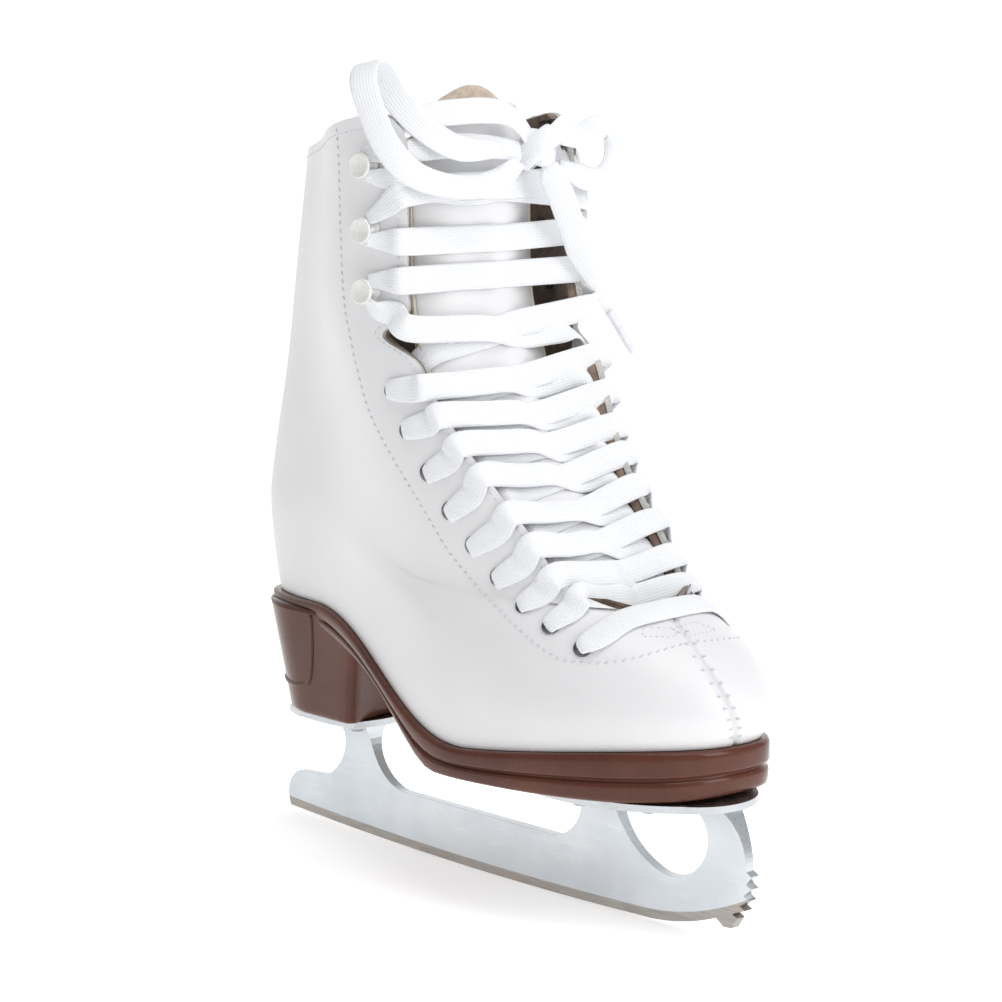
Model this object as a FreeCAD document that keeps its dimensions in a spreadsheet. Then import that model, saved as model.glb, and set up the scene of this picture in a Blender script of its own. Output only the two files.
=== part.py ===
"""Right-foot figure skate: laced leather boot, moulded sole and heel, and a plated steel blade.

Lengths are millimetres. Stations (X) are written from the back of the heel towards the toe; every
sub-part's Placement moves them so that the origin is the lowest point of the blade, on its middle
plane. +X points to the toe, +Y to the inner side of the foot and +Z up.
"""
import FreeCAD, Part
import math
import os

Vector = FreeCAD.Vector

SIZES = {
    "origin_station": 120.0,
    "blade_thickness": 4.0,
    "blade_top": 47.5,
    "plate_thickness": 2.5,
    "plate_hole_radius": 2.3,
    "screw_head_radius": 4.2,
    "screw_head_height": 2.0,
    "screw_shank_radius": 1.9,
    "screw_length": 9.0,
    "heel_seat": 96.0,
    "toe_seat": 69.0,
    "last_length": 233.0,
    "welt_width": 3.0,
    "leather": 2.2,
    "layer_gap": 0.15,
    "stiffener": 1.4,
    "lining": 1.4,
    "seam_gap": 0.2,
    "board_thickness": 2.2,
    "footbed_thickness": 3.5,
    "shank_width": 14.0,
    "shank_thickness": 1.4,
    "tongue_face": 1.4,
    "tongue_foam": 4.6,
    "tongue_lining": 1.2,
    "eyelet_flange_radius": 3.5,
    "eyelet_barrel_radius": 2.6,
    "eyelet_bore_radius": 2.0,
    "hook_inset": 14.5,
    "hook_head_radius": 4.6,
    "hook_rivet_radius": 1.5,
    "lace_width": 10.0,
    "lace_thickness": 1.3,
    "lace_cord_radius": 2.2,
    "aglet_length": 20.0,
    "aglet_radius": 1.6,
}

doc = FreeCAD.newDocument("figure_skate")
sheet = doc.addObject("Spreadsheet::Sheet", "sizes")
for line_number, (alias, value) in enumerate(SIZES.items(), start=1):
    sheet.set("A%d" % line_number, alias)
    sheet.set("B%d" % line_number, "%g" % value)
    sheet.setAlias("B%d" % line_number, alias)
doc.recompute()


def size(alias):
    """The value of one driving dimension."""
    return float(getattr(sheet, alias))


ORIGIN = Vector(-size("origin_station"), 0, 0)
SUBPARTS = []


def keep(obj, label, lift=0.0):
    """Names a sub-part, puts it in the skate's frame and lists it for export."""
    obj.Label = label
    obj.Placement = FreeCAD.Placement(ORIGIN + Vector(0, 0, lift), FreeCAD.Rotation())
    SUBPARTS.append(obj)
    return obj


def feature(label, shape):
    """A sub-part whose shape is made by a function rather than by features."""
    obj = doc.addObject("Part::Feature", label)
    obj.Shape = shape
    return keep(obj, label)


# ---------------------------------------------------------------------------------------------
# The boot's form: closed rows stacked from the feather line to the collar
# ---------------------------------------------------------------------------------------------
# Each row runs from the back of the heel to the front of the foot or shin.
#   back, back_z, front, front_z   the row's two ends
#   outer_*, inner_*               half widths near the heel and near the ball, on each side
#   square_*                       exponents of the rounded ends (2 is an ellipse)
#   ridge                          how far the front end leans to the inner side
#   gap_outer, gap_inner           where the facings end, measured from the ridge
#   reach                          how much further forward the inner facing stands
#   arch                           how closely the row follows the arched sole
#   seam                           angle from the front end to the toe seam, on the outer side
ROW_FIELDS = (
    "back back_z front front_z outer_heel outer_ball inner_heel inner_ball "
    "square_back square_front ridge gap_outer gap_inner reach arch seam"
).split()
ROWS = [
    (0, 96, 233, 69, 25, 47, 24, 36, 3.0, 2.5, 10, 0, 0, 0, 1.0, 0.06),
    (-3, 108, 238, 80, 25, 48, 25, 37, 3.0, 2.5, 10, 0, 0, 0, 0.8, 0.15),
    (-5, 121, 232, 93, 25, 47, 25, 37, 3.0, 2.5, 10, 0, 0, 0, 0.6, 0.2),
    (-6, 134, 216, 105, 25, 45, 25, 37, 2.9, 2.5, 9, 0, 0, 0, 0.4, 0.15),
    (-5, 147, 197, 115, 24, 42, 25, 39, 2.7, 2.8, 7, 24, 20, 0, 0.3, 0),
    (-2, 163, 184, 132, 23, 42, 25, 41, 2.6, 3.0, 4, 31, 25, 0, 0.2, 0),
    (2, 184, 164, 156, 22, 43, 25, 43, 2.4, 3.0, 3, 35, 30, 0, 0.0, 0),
    (6, 207, 140, 188, 21, 44, 26, 46, 2.3, 3.0, 1, 38, 37, 12, 0.0, 0),
    (10, 228, 128, 217, 21, 45, 27, 49, 2.3, 3.0, 0, 38, 43, 12, 0.0, 0),
    (14, 248, 127, 252, 21, 45, 28, 50, 2.3, 3.0, 0, 38, 44, 8, 0.0, 0),
    (18, 268, 125, 289, 22, 45, 29, 51, 2.2, 3.0, 0, 38, 46, 4, 0.0, 0),
]
ROWS = [dict(zip(ROW_FIELDS, row)) for row in ROWS]
COLUMNS = 13
OUTER, INNER = -1, 1
SIDE_NAMES = {OUTER: "lateral", INNER: "medial"}


def smooth(t):
    """0 below 0, 1 above 1 and a smooth rise between."""
    t = min(max(t, 0.0), 1.0)
    return t * t * (3 - 2 * t)


def arch_drop(t):
    """Share of the fall from heel seat to toe seat at a fraction t of the foot's length."""
    return 1.3 * smooth((t - 0.17) / 0.48) - 0.3 * smooth((t - 0.55) / 0.45)


def seat_height(x):
    """Height of the feather line, where the upper meets the sole, at station x."""
    fall = size("heel_seat") - size("toe_seat")
    return size("heel_seat") - fall * arch_drop(x / size("last_length"))


def row_point(row, angle, side):
    """A point of a row: angle pi is the back of the heel and 0 is the front end."""
    names = ("inner_heel", "inner_ball") if side == INNER else ("outer_heel", "outer_ball")
    heel, ball = (row[name] for name in names)
    front = row["front"] + (row["reach"] if side == INNER else 0)
    centre = (row["back"] + front) / 2
    half_length = (front - row["back"]) / 2
    cosine, sine = math.cos(angle), abs(math.sin(angle))
    square = row["square_back"] + (row["square_front"] - row["square_back"]) * (1 + cosine) / 2
    x = centre + half_length * math.copysign(abs(cosine) ** (2 / square), cosine)
    t = (x - row["back"]) / (row["front"] - row["back"])
    half_width = heel + (ball - heel) * smooth((t - 0.15) / 0.5)
    y = side * half_width * sine ** (2 / square) + row["ridge"] * max(0.0, 2 * t - 1) ** 2
    fall = (1 - row["arch"]) * t + row["arch"] * arch_drop(t)
    return Vector(x, y, row["back_z"] + (row["front_z"] - row["back_z"]) * fall)


def form_point(row, angle, side):
    """A row's point; a negative angle goes on past the front end to the other side."""
    return row_point(row, abs(angle), side if angle >= 0 else -side)


def front_angle(row, side):
    """The angle at which a row's quarter ends, at the toe seam or at the edge of its facing."""
    if row["gap_outer"] == 0:
        return -side * row["seam"]
    gap, ball = ("gap_inner", "inner_ball") if side == INNER else ("gap_outer", "outer_ball")
    return math.asin((row[gap] / row[ball]) ** (row["square_front"] / 2))


def form_grid(side):
    """Rows of points over one side of the boot, from the back seam to the front."""
    grid = []
    for row in ROWS:
        end = front_angle(row, side)
        step = (math.pi - end) / (COLUMNS - 1)
        points = [form_point(row, math.pi - step * k, side) for k in range(COLUMNS)]
        points[0].y = side * size("seam_gap")
        if row["gap_outer"] == 0:
            points[-1].y += side * size("seam_gap")
        grid.append(points)
    return grid


def surface_through(grid):
    surface = Part.BSplineSurface()
    surface.interpolate(grid)
    return surface


def outward(surface, point, inside):
    """Unit normal of a surface at a point, on the side away from the point inside."""
    normal = surface.normal(*surface.parameter(point))
    if normal.dot(point - inside) < 0:
        normal = normal * -1
    return normal


def sunk_grid(grid, depth, inside_of, seams=()):
    """The grid moved inwards by depth; the columns in seams stay in their own plane."""
    surface = surface_through(grid)
    sunk = []
    for r, points in enumerate(grid):
        line = []
        for c, point in enumerate(points):
            normal = outward(surface, point, inside_of(point))
            if c in seams:
                normal.y = 0
            if r == 0 and seams:
                normal.z = 0
            line.append(point - normal.normalize() * depth)
        sunk.append(line)
    return sunk


def slab(top, bottom):
    """The closed solid between two surfaces."""
    faces = [top.toShape(), bottom.toShape()]
    u0, u1, v0, v1 = top.bounds()
    p0, p1, q0, q1 = bottom.bounds()
    borders = [
        (top.uIso(u0), bottom.uIso(p0)),
        (top.uIso(u1), bottom.uIso(p1)),
        (top.vIso(v0), bottom.vIso(q0)),
        (top.vIso(v1), bottom.vIso(q1)),
    ]
    for upper, lower in borders:
        faces.append(Part.makeRuledSurface(upper.toShape(), lower.toShape()))
    shell = Part.makeShell(faces)
    shell.sewShape()
    solid = Part.makeSolid(Part.Shell(shell.Faces))
    if solid.Volume < 0:
        solid.reverse()
    return solid


def boot_middle(point):
    """A point inside the boot, level with a point of its wall."""
    return Vector(min(max(point.x, 40.0), 190.0) * 0.9 + 5, 4, point.z - 8)


GRIDS = {side: form_grid(side) for side in (OUTER, INNER)}
FORMS = {side: surface_through(GRIDS[side]) for side in (OUTER, INNER)}
ALL_ROWS, ALL_COLUMNS = (0, len(ROWS) - 1), (0, COLUMNS - 1)


def sunk_form(side, depth):
    """One side of the boot at a depth below its outer face, its seams kept in their planes."""
    if depth == 0:
        return GRIDS[side]
    grid = sunk_grid(GRIDS[side], depth, boot_middle, seams=(0,))
    at_toe = sunk_grid(GRIDS[side], depth, boot_middle, seams=(0, COLUMNS - 1))
    for r, row in enumerate(ROWS):
        if row["gap_outer"] == 0:
            grid[r][-1] = at_toe[r][-1]
    return grid


def layer_surface(side, depth, rows, columns):
    """The sunk surface, trimmed to a range of rows and columns."""
    grid = sunk_form(side, depth)
    surface = surface_through(grid)
    middle_row, middle_column = len(ROWS) // 2, COLUMNS // 2
    u0, u1 = (surface.parameter(grid[r][middle_column])[0] for r in rows)
    v0, v1 = (surface.parameter(grid[middle_row][c])[1] for c in columns)
    if (rows, columns) != (ALL_ROWS, ALL_COLUMNS):
        surface.segment(u0, u1, v0, v1)
    return surface


def boot_layer(side, depth, thickness, rows=None, columns=None):
    rows, columns = rows or ALL_ROWS, columns or ALL_COLUMNS
    return slab(
        layer_surface(side, depth, rows, columns),
        layer_surface(side, depth + thickness, rows, columns),
    )


# ---------------------------------------------------------------------------------------------
# Places along the facings
# ---------------------------------------------------------------------------------------------
# Row number and angle of each eyelet on the outer side, bottom to top.
EYELET_PLACES = [
    (2.66, 0.80), (3.16, 0.89), (3.70, 0.96), (4.25, 1.03), (4.80, 1.11),
    (5.28, 1.17), (5.76, 1.21), (6.26, 1.24), (6.72, 1.24),
]
INNER_TURN = -0.12
HOOK_ROWS = [8.03, 8.73, 9.44]


def eyelet_frame(side, row_number, angle):
    """Point and outward normal of one eyelet; the inner facing stands a little further forward."""
    angle += INNER_TURN if side == INNER else 0.0
    low = int(row_number)
    share = row_number - low
    lower, upper = (row_point(ROWS[k], angle, side) for k in (low, low + 1))
    form = FORMS[side]
    u, v = form.parameter(lower * (1 - share) + upper * share)
    point = form.value(u, v)
    return point, outward(form, point, boot_middle(point))


def facing_frame(side, row_number, inset):
    """Point and outward normal of a place inset from the facing's edge."""
    form, grid = FORMS[side], GRIDS[side]
    low = int(row_number)
    share = row_number - low
    here = form.parameter(grid[low][-1])[0]
    above = form.parameter(grid[min(low + 1, len(grid) - 1)][-1])[0]
    u = here + (above - here) * share
    edge = form.value(u, 1.0)
    near, far = 0.0, 1.0
    for _ in range(30):
        middle = (near + far) / 2
        if form.value(u, middle).distanceToPoint(edge) > inset:
            near = middle
        else:
            far = middle
    point = form.value(u, near)
    return point, outward(form, point, boot_middle(point))


EYELETS = {s: [eyelet_frame(s, *place) for place in EYELET_PLACES] for s in SIDE_NAMES}
HOOKS = {s: [facing_frame(s, row, size("hook_inset")) for row in HOOK_ROWS] for s in SIDE_NAMES}


def turned(profile, point, normal):
    """A solid of revolution about the normal at a point; the profile lists (radius, height)."""
    wire = Part.makePolygon([Vector(r, 0, h) for r, h in profile + profile[:1]])
    solid = Part.Face(wire).revolve(Vector(), Vector(0, 0, 1), 360)
    turn = FreeCAD.Rotation(Vector(0, 0, 1), normal)
    solid.Placement = FreeCAD.Placement(point, turn)
    return solid


def punched(solid, side):
    """The solid with the holes for one side's eyelets and hook rivets."""
    sets = (
        (EYELETS[side], size("eyelet_barrel_radius")),
        (HOOKS[side], size("hook_rivet_radius")),
    )
    for places, radius in sets:
        for point, normal in places:
            punch = Part.makeCylinder(radius, 14, point - normal * 9, normal)
            cut = solid.cut(punch)
            # A punch whose seam line meets the sheet's edge is turned about its own axis.
            for _ in range(8):
                if cut.isValid() and 0.9 * solid.Volume < cut.Volume < solid.Volume:
                    break
                punch.rotate(point, normal, 37)
                cut = solid.cut(punch)
            solid = max(cut.Solids, key=lambda piece: piece.Volume)
    return solid


# ---------------------------------------------------------------------------------------------
# Upper: leather quarters, stiffeners, padding and lining
# ---------------------------------------------------------------------------------------------
BACK_COLUMNS, TOE_COLUMNS, PAD_COLUMNS = (0, 6), (9, 12), (1, 8)
COUNTER_ROWS, PUFF_ROWS, PAD_ROWS = (0, 4), (0, 3), (5, 10)


def make_upper():
    leather, gap = size("leather"), size("layer_gap")
    stiffener, lining = size("stiffener"), size("lining")
    under = leather + gap
    deepest = under + stiffener + gap
    for side, name in SIDE_NAMES.items():
        feature("upper_quarter_" + name, punched(boot_layer(side, 0, leather), side))
        feature("ankle_padding_" + name, boot_layer(side, under, stiffener, PAD_ROWS, PAD_COLUMNS))
        feature("lining_" + name, punched(boot_layer(side, deepest, lining), side))
        feature(
            "heel_counter_" + name,
            boot_layer(side, under, stiffener, COUNTER_ROWS, BACK_COLUMNS),
        )
        feature("toe_puff_" + name, boot_layer(side, under, stiffener, PUFF_ROWS, TOE_COLUMNS))


# ---------------------------------------------------------------------------------------------
# Tongue
# ---------------------------------------------------------------------------------------------
# Middle line (station, height), half width and how far the edges curve back.
TONGUE = [
    (190, 103, 18, 7),
    (181, 118, 22, 8),
    (166, 136, 25, 8),
    (150, 151, 27, 8),
    (137, 168, 28, 7),
    (127, 184, 30, 8),
    (120, 200, 31, 8),
    (115, 220, 31, 9),
    (114, 247, 31, 9),
    (112, 275, 29, 8),
    (111, 294, 17, 4),
]
TONGUE_LEAN = -2.0  # the tongue sits slightly towards the outer side
TONGUE_COLUMNS = 9


def tongue_grid():
    grid = []
    last = len(TONGUE) - 1
    for k, (x, z, half_width, drop) in enumerate(TONGUE):
        x0, z0 = TONGUE[max(k - 1, 0)][:2]
        x1, z1 = TONGUE[min(k + 1, last)][:2]
        along = Vector(x1 - x0, 0, z1 - z0).normalize()
        out = Vector(along.z, 0, -along.x)
        line = []
        for c in range(TONGUE_COLUMNS):
            share = 2 * c / (TONGUE_COLUMNS - 1) - 1
            line.append(Vector(x, TONGUE_LEAN + share * half_width, z) - out * (drop * share * share))
        grid.append(line)
    return grid


def tongue_inside(point):
    return Vector(point.x - 40, point.y, point.z - 30)


TONGUE_GRID = tongue_grid()


def make_tongue():
    face, foam = size("tongue_face"), size("tongue_foam")
    depths = [0, face, face + foam, face + foam + size("tongue_lining")]
    grids = [TONGUE_GRID] + [sunk_grid(TONGUE_GRID, d, tongue_inside) for d in depths[1:]]
    for name, k in (("tongue_face", 0), ("tongue_padding", 1), ("tongue_lining", 2)):
        feature(name, slab(surface_through(grids[k]), surface_through(grids[k + 1])))


# ---------------------------------------------------------------------------------------------
# Sole unit, insole board, shank and footbed
# ---------------------------------------------------------------------------------------------
def plan_outline(growth):
    """Closed flat curve round the feather line, moved outwards by growth."""
    loop = []
    for side in (OUTER, INNER):
        points = [row_point(ROWS[0], math.pi * k / 24, side) for k in range(25)]
        loop += points[::-1][:-1] if side == OUTER else points[:-1]
    moved = []
    count = len(loop)
    for k, point in enumerate(loop):
        along = loop[(k + 1) % count] - loop[k - 1]
        out = Vector(along.y, -along.x, 0).normalize()
        moved.append(Vector(point.x, point.y, 0) + out * growth)
    curve = Part.BSplineCurve()
    curve.interpolate(Points=moved, PeriodicFlag=True)
    return Part.Face(Part.Wire(curve.toShape()))


def column_of(face):
    """The outline's full-height prism."""
    return face.extrude(Vector(0, 0, 130))


def seat_curve(rise):
    """The feather line's side view as one curve, lifted by rise."""
    stations = [-12 + 11 * k for k in range(25)]
    curve = Part.BSplineCurve()
    curve.interpolate([Vector(x, -70, seat_height(x) + rise) for x in stations])
    return curve


def side_band(low, high, back=-12.0, front=252.0):
    """The space between two lifted copies of the seat curve, across the whole width."""
    lower, upper = seat_curve(low).toShape(), seat_curve(high).toShape()
    face = Part.makeRuledSurface(lower, upper)
    window = Part.makeBox(front - back, 140, 140, Vector(back, -70, 0))
    return face.extrude(Vector(0, 140, 0)).common(window)


SOLE_UNDERSIDE = [
    (252, 57), (240, 53.5), (226, 50.6), (210, 50), (131, 50), (123, 54), (114, 60.5), (103, 68),
    (92, 74), (78, 79), (58, 84), (40, 88), (-12, 90),
]


def outsole_body():
    """Tread and shank: the plan prism between the seat curve and the underside."""
    top = seat_curve(-0.3)
    top_edge = top.toShape()
    toe_end, heel_end = (
        top_edge.valueAt(end) for end in (top_edge.LastParameter, top_edge.FirstParameter)
    )
    line = [Vector(x, -70, z) for x, z in SOLE_UNDERSIDE]
    under = Part.makePolygon([toe_end] + line + [heel_end])
    profile = Part.Face(Part.Wire([top_edge] + under.Edges))
    return profile.extrude(Vector(0, 140, 0)).common(column_of(plan_outline(size("welt_width"))))


def heel_outline(back, breast, half_width, z):
    """A D-shaped wire: flat breast in front, round back."""
    side_start = back + half_width * 1.1
    corners = [
        Vector(breast, -half_width, z),
        Vector(breast, half_width, z),
        Vector(side_start, half_width, z),
        Vector(side_start, -half_width, z),
    ]
    edges = [
        Part.LineSegment(corners[0], corners[1]).toShape(),
        Part.LineSegment(corners[1], corners[2]).toShape(),
        Part.Arc(corners[2], Vector(back, 0, z), corners[3]).toShape(),
        Part.LineSegment(corners[3], corners[0]).toShape(),
    ]
    return Part.Wire(edges)


def heel_block():
    block = Part.makeLoft([heel_outline(8, 57, 21, 50), heel_outline(-3, 67, 27, 98)], True, True)
    below_seat = side_band(-50, -0.3)
    return block.common(below_seat)


def pilot_holes(places, bottom):
    radius, length = size("screw_shank_radius"), size("screw_length")
    drills = [Part.makeCylinder(radius, length, Vector(x, y, bottom)) for x, y in places]
    return Part.makeCompound(drills)


def shank_strip():
    band = side_band(-0.3 - size("shank_thickness"), -0.3, 40, 132)
    width = size("shank_width")
    return band.common(Part.makeBox(100, width, 140, Vector(36, -width / 2, 0)))


def make_sole():
    shank = shank_strip()
    bottom = size("blade_top") + size("plate_thickness")
    unit = outsole_body().fuse(heel_block()).removeSplitter()
    unit = unit.cut(shank)
    unit = unit.cut(pilot_holes(SOLE_SCREWS, bottom)).cut(pilot_holes(HEEL_SCREWS, bottom))
    feature("outsole_and_heel", unit)
    feature("shank", shank)
    inner_edge = size("leather") + size("stiffener") + size("lining") + 3 * size("layer_gap")
    board, footbed = size("board_thickness"), size("footbed_thickness")
    inside = column_of(plan_outline(-inner_edge - 0.3))
    feature("insole_board", side_band(-0.25, board).common(inside))
    loose = column_of(plan_outline(-inner_edge - 1.0))
    feature("footbed", side_band(board + 0.1, board + footbed).common(loose))


# ---------------------------------------------------------------------------------------------
# Blade and its plates
# ---------------------------------------------------------------------------------------------
SOLE_SCREWS = [(158, -24), (158, 24), (190, -27), (190, 27), (213, -17), (213, 24)]
HEEL_SCREWS = [(17, -11), (17, 11), (51, -12), (51, 12)]
TEETH = [(241.0, 10.5), (244.5, 14.0), (246.3, 18.0), (247.3, 22.2), (247.3, 26.5)]
TOOTH_DEPTH = 2.4


def plane_of(body, role):
    return [f for f in body.Origin.OriginFeatures if f.Role == role][0]


def sketch_on(body, role, name):
    sketch = body.newObject("Sketcher::SketchObject", name)
    sketch.AttachmentSupport = (plane_of(body, role), [""])
    sketch.MapMode = "FlatFace"
    return sketch


def draw(sketch, start, steps):
    """Closes an outline: each step is (end,) for a line or (middle, end) for an arc."""
    here = start
    for step in steps + [(start,)]:
        end = step[-1]
        if len(step) == 1:
            if (Vector(*here, 0) - Vector(*end, 0)).Length > 1e-6:
                sketch.addGeometry(Part.LineSegment(Vector(*here, 0), Vector(*end, 0)))
        else:
            sketch.addGeometry(Part.Arc(Vector(*here, 0), Vector(*step[0], 0), Vector(*end, 0)))
        here = end


def blade_steps():
    top = size("blade_top")
    steps = [
        ((120, 0.0), (196, 1.4)),
        ((216, 3.9), (231, 8.6)),
        ((232.6, 7.6), (234.6, 6.2)),
        ((238.2, 6.4),),
    ]
    for x, z in TEETH:
        steps += [((x, z),), ((x - TOOTH_DEPTH, z + 1.2),)]
    steps += [
        ((243.5, 36.0), (236.5, top)),
        ((222.0, top),),
        ((226.8, 33.5), (217.0, 21.0)),
        ((209.0, 19.0), (200.5, 21.0)),
        ((187.0, 31.0), (180.5, top)),
        ((163.5, top),),
        ((162.0, 29.0), (151.0, 22.0)),
        ((66.0, 22.0),),
        ((53.0, 29.0), (48.5, top)),
        ((31.0, top),),
        ((29.0, 28.0), (19.0, 20.0)),
        ((1.5, 18.6),),
        ((-4.2, 12.0), (-3.2, 3.6)),
    ]
    return steps


def make_blade():
    body = doc.addObject("PartDesign::Body", "blade_runner")
    sketch = sketch_on(body, "XZ_Plane", "blade_outline")
    steps = blade_steps()
    draw(sketch, steps[-1][-1], steps)
    pad = body.newObject("PartDesign::Pad", "blade_pad")
    pad.Profile = sketch
    pad.Midplane = True
    pad.setExpression("Length", "sizes.blade_thickness")
    keep(body, "blade_runner")


def plate(label, outline, screws):
    """A flat mounting plate with screw holes, lying on the blade's stanchions."""
    body = doc.addObject("PartDesign::Body", label)
    sketch = sketch_on(body, "XY_Plane", label + "_outline")
    draw(sketch, outline[-1][-1], outline)
    for x, y in screws:
        hole = Part.Circle(Vector(x, y, 0), Vector(0, 0, 1), size("plate_hole_radius"))
        sketch.addGeometry(hole)
    pad = body.newObject("PartDesign::Pad", label + "_pad")
    pad.Profile = sketch
    pad.setExpression("Length", "sizes.plate_thickness")
    keep(body, label, lift=size("blade_top"))


def screws(label, places):
    head, height = size("screw_head_radius"), size("screw_head_height")
    shank, length = size("screw_shank_radius"), size("screw_length")
    thickness = size("plate_thickness")
    profile = [
        (0, -height), (head * 0.6, -height), (head, -height * 0.35), (head, 0),
        (shank, 0), (shank, thickness + length - 1.5), (0, thickness + length),
    ]
    top = size("blade_top")
    solids = [turned(profile, Vector(x, y, top), Vector(0, 0, 1)) for x, y in places]
    feature(label, Part.makeCompound(solids))


def make_plates():
    front = [
        ((150, 0), (153, 27)),
        ((190, 34), (219, 25)),
        ((238, 6), (228, -16)),
        ((190, -34), (153, -27)),
    ]
    plate("sole_plate", front, SOLE_SCREWS)
    heel = [((9, 0), (13, 15)), ((32, 19), (55, 17)), ((58, 0), (55, -17)), ((32, -19), (13, -15))]
    plate("heel_plate", heel, HEEL_SCREWS)
    screws("sole_plate_screws", SOLE_SCREWS)
    screws("heel_plate_screws", HEEL_SCREWS)


# ---------------------------------------------------------------------------------------------
# Eyelets and hooks
# ---------------------------------------------------------------------------------------------
def make_facing_hardware():
    flange, barrel = size("eyelet_flange_radius"), size("eyelet_barrel_radius")
    bore = size("eyelet_bore_radius")
    eyelet = [(bore, -5.4), (barrel, -5.4), (barrel, 0.15), (flange, 0.15), (flange * 0.9, 0.8), (bore, 0.9)]
    head, rivet = size("hook_head_radius"), size("hook_rivet_radius")
    hook = [
        (0, 0.15), (3.6, 0.15), (3.6, 0.9), (1.9, 1.6), (1.9, 5.2), (head, 6.0),
        (head, 6.8), (head * 0.6, 7.8), (0, 8.1),
    ]
    shank = [(0, -7.0), (2.9, -7.0), (2.9, -6.1), (rivet, -5.5), (rivet, 0.1), (0, 0.1)]
    for side, name in SIDE_NAMES.items():
        rings = [turned(eyelet, p, n) for p, n in EYELETS[side]]
        feature("eyelets_" + name, Part.makeCompound(rings))
        feature("hooks_" + name, Part.makeCompound([turned(hook, p, n) for p, n in HOOKS[side]]))
        feature(
            "hook_rivets_" + name,
            Part.makeCompound([turned(shank, p, n) for p, n in HOOKS[side]]),
        )


# ---------------------------------------------------------------------------------------------
# Lace
# ---------------------------------------------------------------------------------------------
def ribbon(points, normals, widths):
    """A flat lace of the sheet's thickness along a list of points."""
    half = size("lace_thickness") / 2
    top, bottom = [], []
    last = len(points) - 1
    for k, (point, normal) in enumerate(zip(points, normals)):
        along = (points[min(k + 1, last)] - points[max(k - 1, 0)]).normalize()
        across = along.cross(normal).normalize()
        out = across.cross(along).normalize()
        rib = [point + across * (widths[k] * share / 2) for share in (-1, 0, 1)]
        top.append([p + out * half for p in rib])
        bottom.append([p - out * half for p in rib])
    return slab(surface_through(top), surface_through(bottom))


def tongue_point(share, guess):
    """Point and outward normal of the tongue's face, level with a guessed point.

    The share runs from -1 to 1 across the tongue.
    """
    surface = surface_through(TONGUE_GRID)
    v = (share + 1) / 2
    best = min(
        (surface.value(k / 200, v) for k in range(201)),
        key=lambda p: p.distanceToPoint(guess),
    )
    return best, outward(surface, best, tongue_inside(best))


def lace_places():
    """Both sides' eyelets and hooks in one list each, bottom to top."""
    return {side: EYELETS[side] + HOOKS[side] for side in (OUTER, INNER)}


def crossing(start_side, level, lift, places):
    """From under the facing at one level to over the other facing at the next."""
    start, start_normal = places[start_side][level - 1]
    end, end_normal = places[-start_side][level]
    rise = 1.2 if level < len(EYELET_PLACES) else 3.4
    middle_guess = (start + end) * 0.5
    middle, middle_normal = tongue_point(0, middle_guess)
    first, first_normal = tongue_point(start_side * 0.62, start * 0.8 + end * 0.2)
    third, third_normal = tongue_point(-start_side * 0.45, start * 0.25 + end * 0.75)
    points = [
        start - start_normal * 6.1,
        first + first_normal * 1.4,
        middle + middle_normal * (2.0 + lift),
        third + third_normal * (3.6 + lift * 0.5),
        end + end_normal * (rise + 0.6),
    ]
    normals = [start_normal, first_normal, middle_normal, third_normal, end_normal]
    width = size("lace_width")
    return ribbon(points, normals, [width * 0.55, width, width, width, width * 0.6])


def make_laced_part():
    places = lace_places()
    for name, parity, lift in (("lace_strand_a", 0, 0.0), ("lace_strand_b", 1, 1.7)):
        ribbons = []
        for level in range(1, len(places[OUTER])):
            side = OUTER if (level + parity) % 2 else INNER
            ribbons.append(crossing(side, level, lift, places))
        feature(name, Part.makeCompound(ribbons))
    outer, inner = places[OUTER][0], places[INNER][0]
    points = [outer[0] + outer[1] * 1.6]
    normals = [outer[1]]
    low, high = outer[0], inner[0]
    for share in (0.25, 0.5, 0.75):
        rise = 10.5 * math.sin(math.pi * share)
        points.append(low + (high - low) * share + Vector(3, 0, 1.5) + Vector(0.45, 0, 0.9) * rise)
        normals.append(Vector(0.45, 0, 0.9))
    points.append(inner[0] + inner[1] * 1.6)
    normals.append(inner[1])
    width = size("lace_width")
    bar = ribbon(points, normals, [width * 0.6, width, width, width, width * 0.6])
    feature("lace_bottom_bar", bar)


def rounded_route(points):
    """Straight runs joined by tangent arcs, as large as the two runs allow."""
    edges, radii = [], []
    here = points[0]
    for before, corner, after in zip(points, points[1:], points[2:]):
        arriving, leaving = corner - before, after - corner
        shorter = min(arriving.Length, leaving.Length)
        turn = arriving.getAngle(leaving)
        cut = 0.45 * shorter
        radii.append(cut / math.tan(turn / 2))
        begin = corner - arriving.normalize() * cut
        finish = corner + leaving.normalize() * cut
        bisector = ((begin + finish) * 0.5 - corner).normalize()
        reach = radii[-1] / math.cos(turn / 2) - radii[-1]
        middle = corner + bisector * reach
        edges.append(Part.LineSegment(here, begin).toShape())
        edges.append(Part.Arc(begin, middle, finish).toShape())
        here = finish
    edges.append(Part.LineSegment(here, points[-1]).toShape())
    return Part.Wire(edges), radii


def cord(label, points):
    """A free stretch of lace as a plain round tube along its route."""
    route, radii = rounded_route([Vector(*p) for p in points])
    radius = size("lace_cord_radius")
    first = route.Edges[0]
    start = first.valueAt(first.FirstParameter)
    direction = first.tangentAt(first.FirstParameter)
    section = Part.Wire(Part.Circle(start, direction, radius).toShape())
    tube = route.makePipeShell([section], True, True)
    expected = math.pi * radius ** 2 * route.Length
    print(
        "%s: length %.1f, radii %s, volume %.0f of %.0f"
        % (label, route.Length, [round(r, 1) for r in radii], tube.Volume, expected)
    )
    feature(label, tube)
    return tube


KNOT_CENTRE = Vector(123.5, 15, 271)
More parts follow.
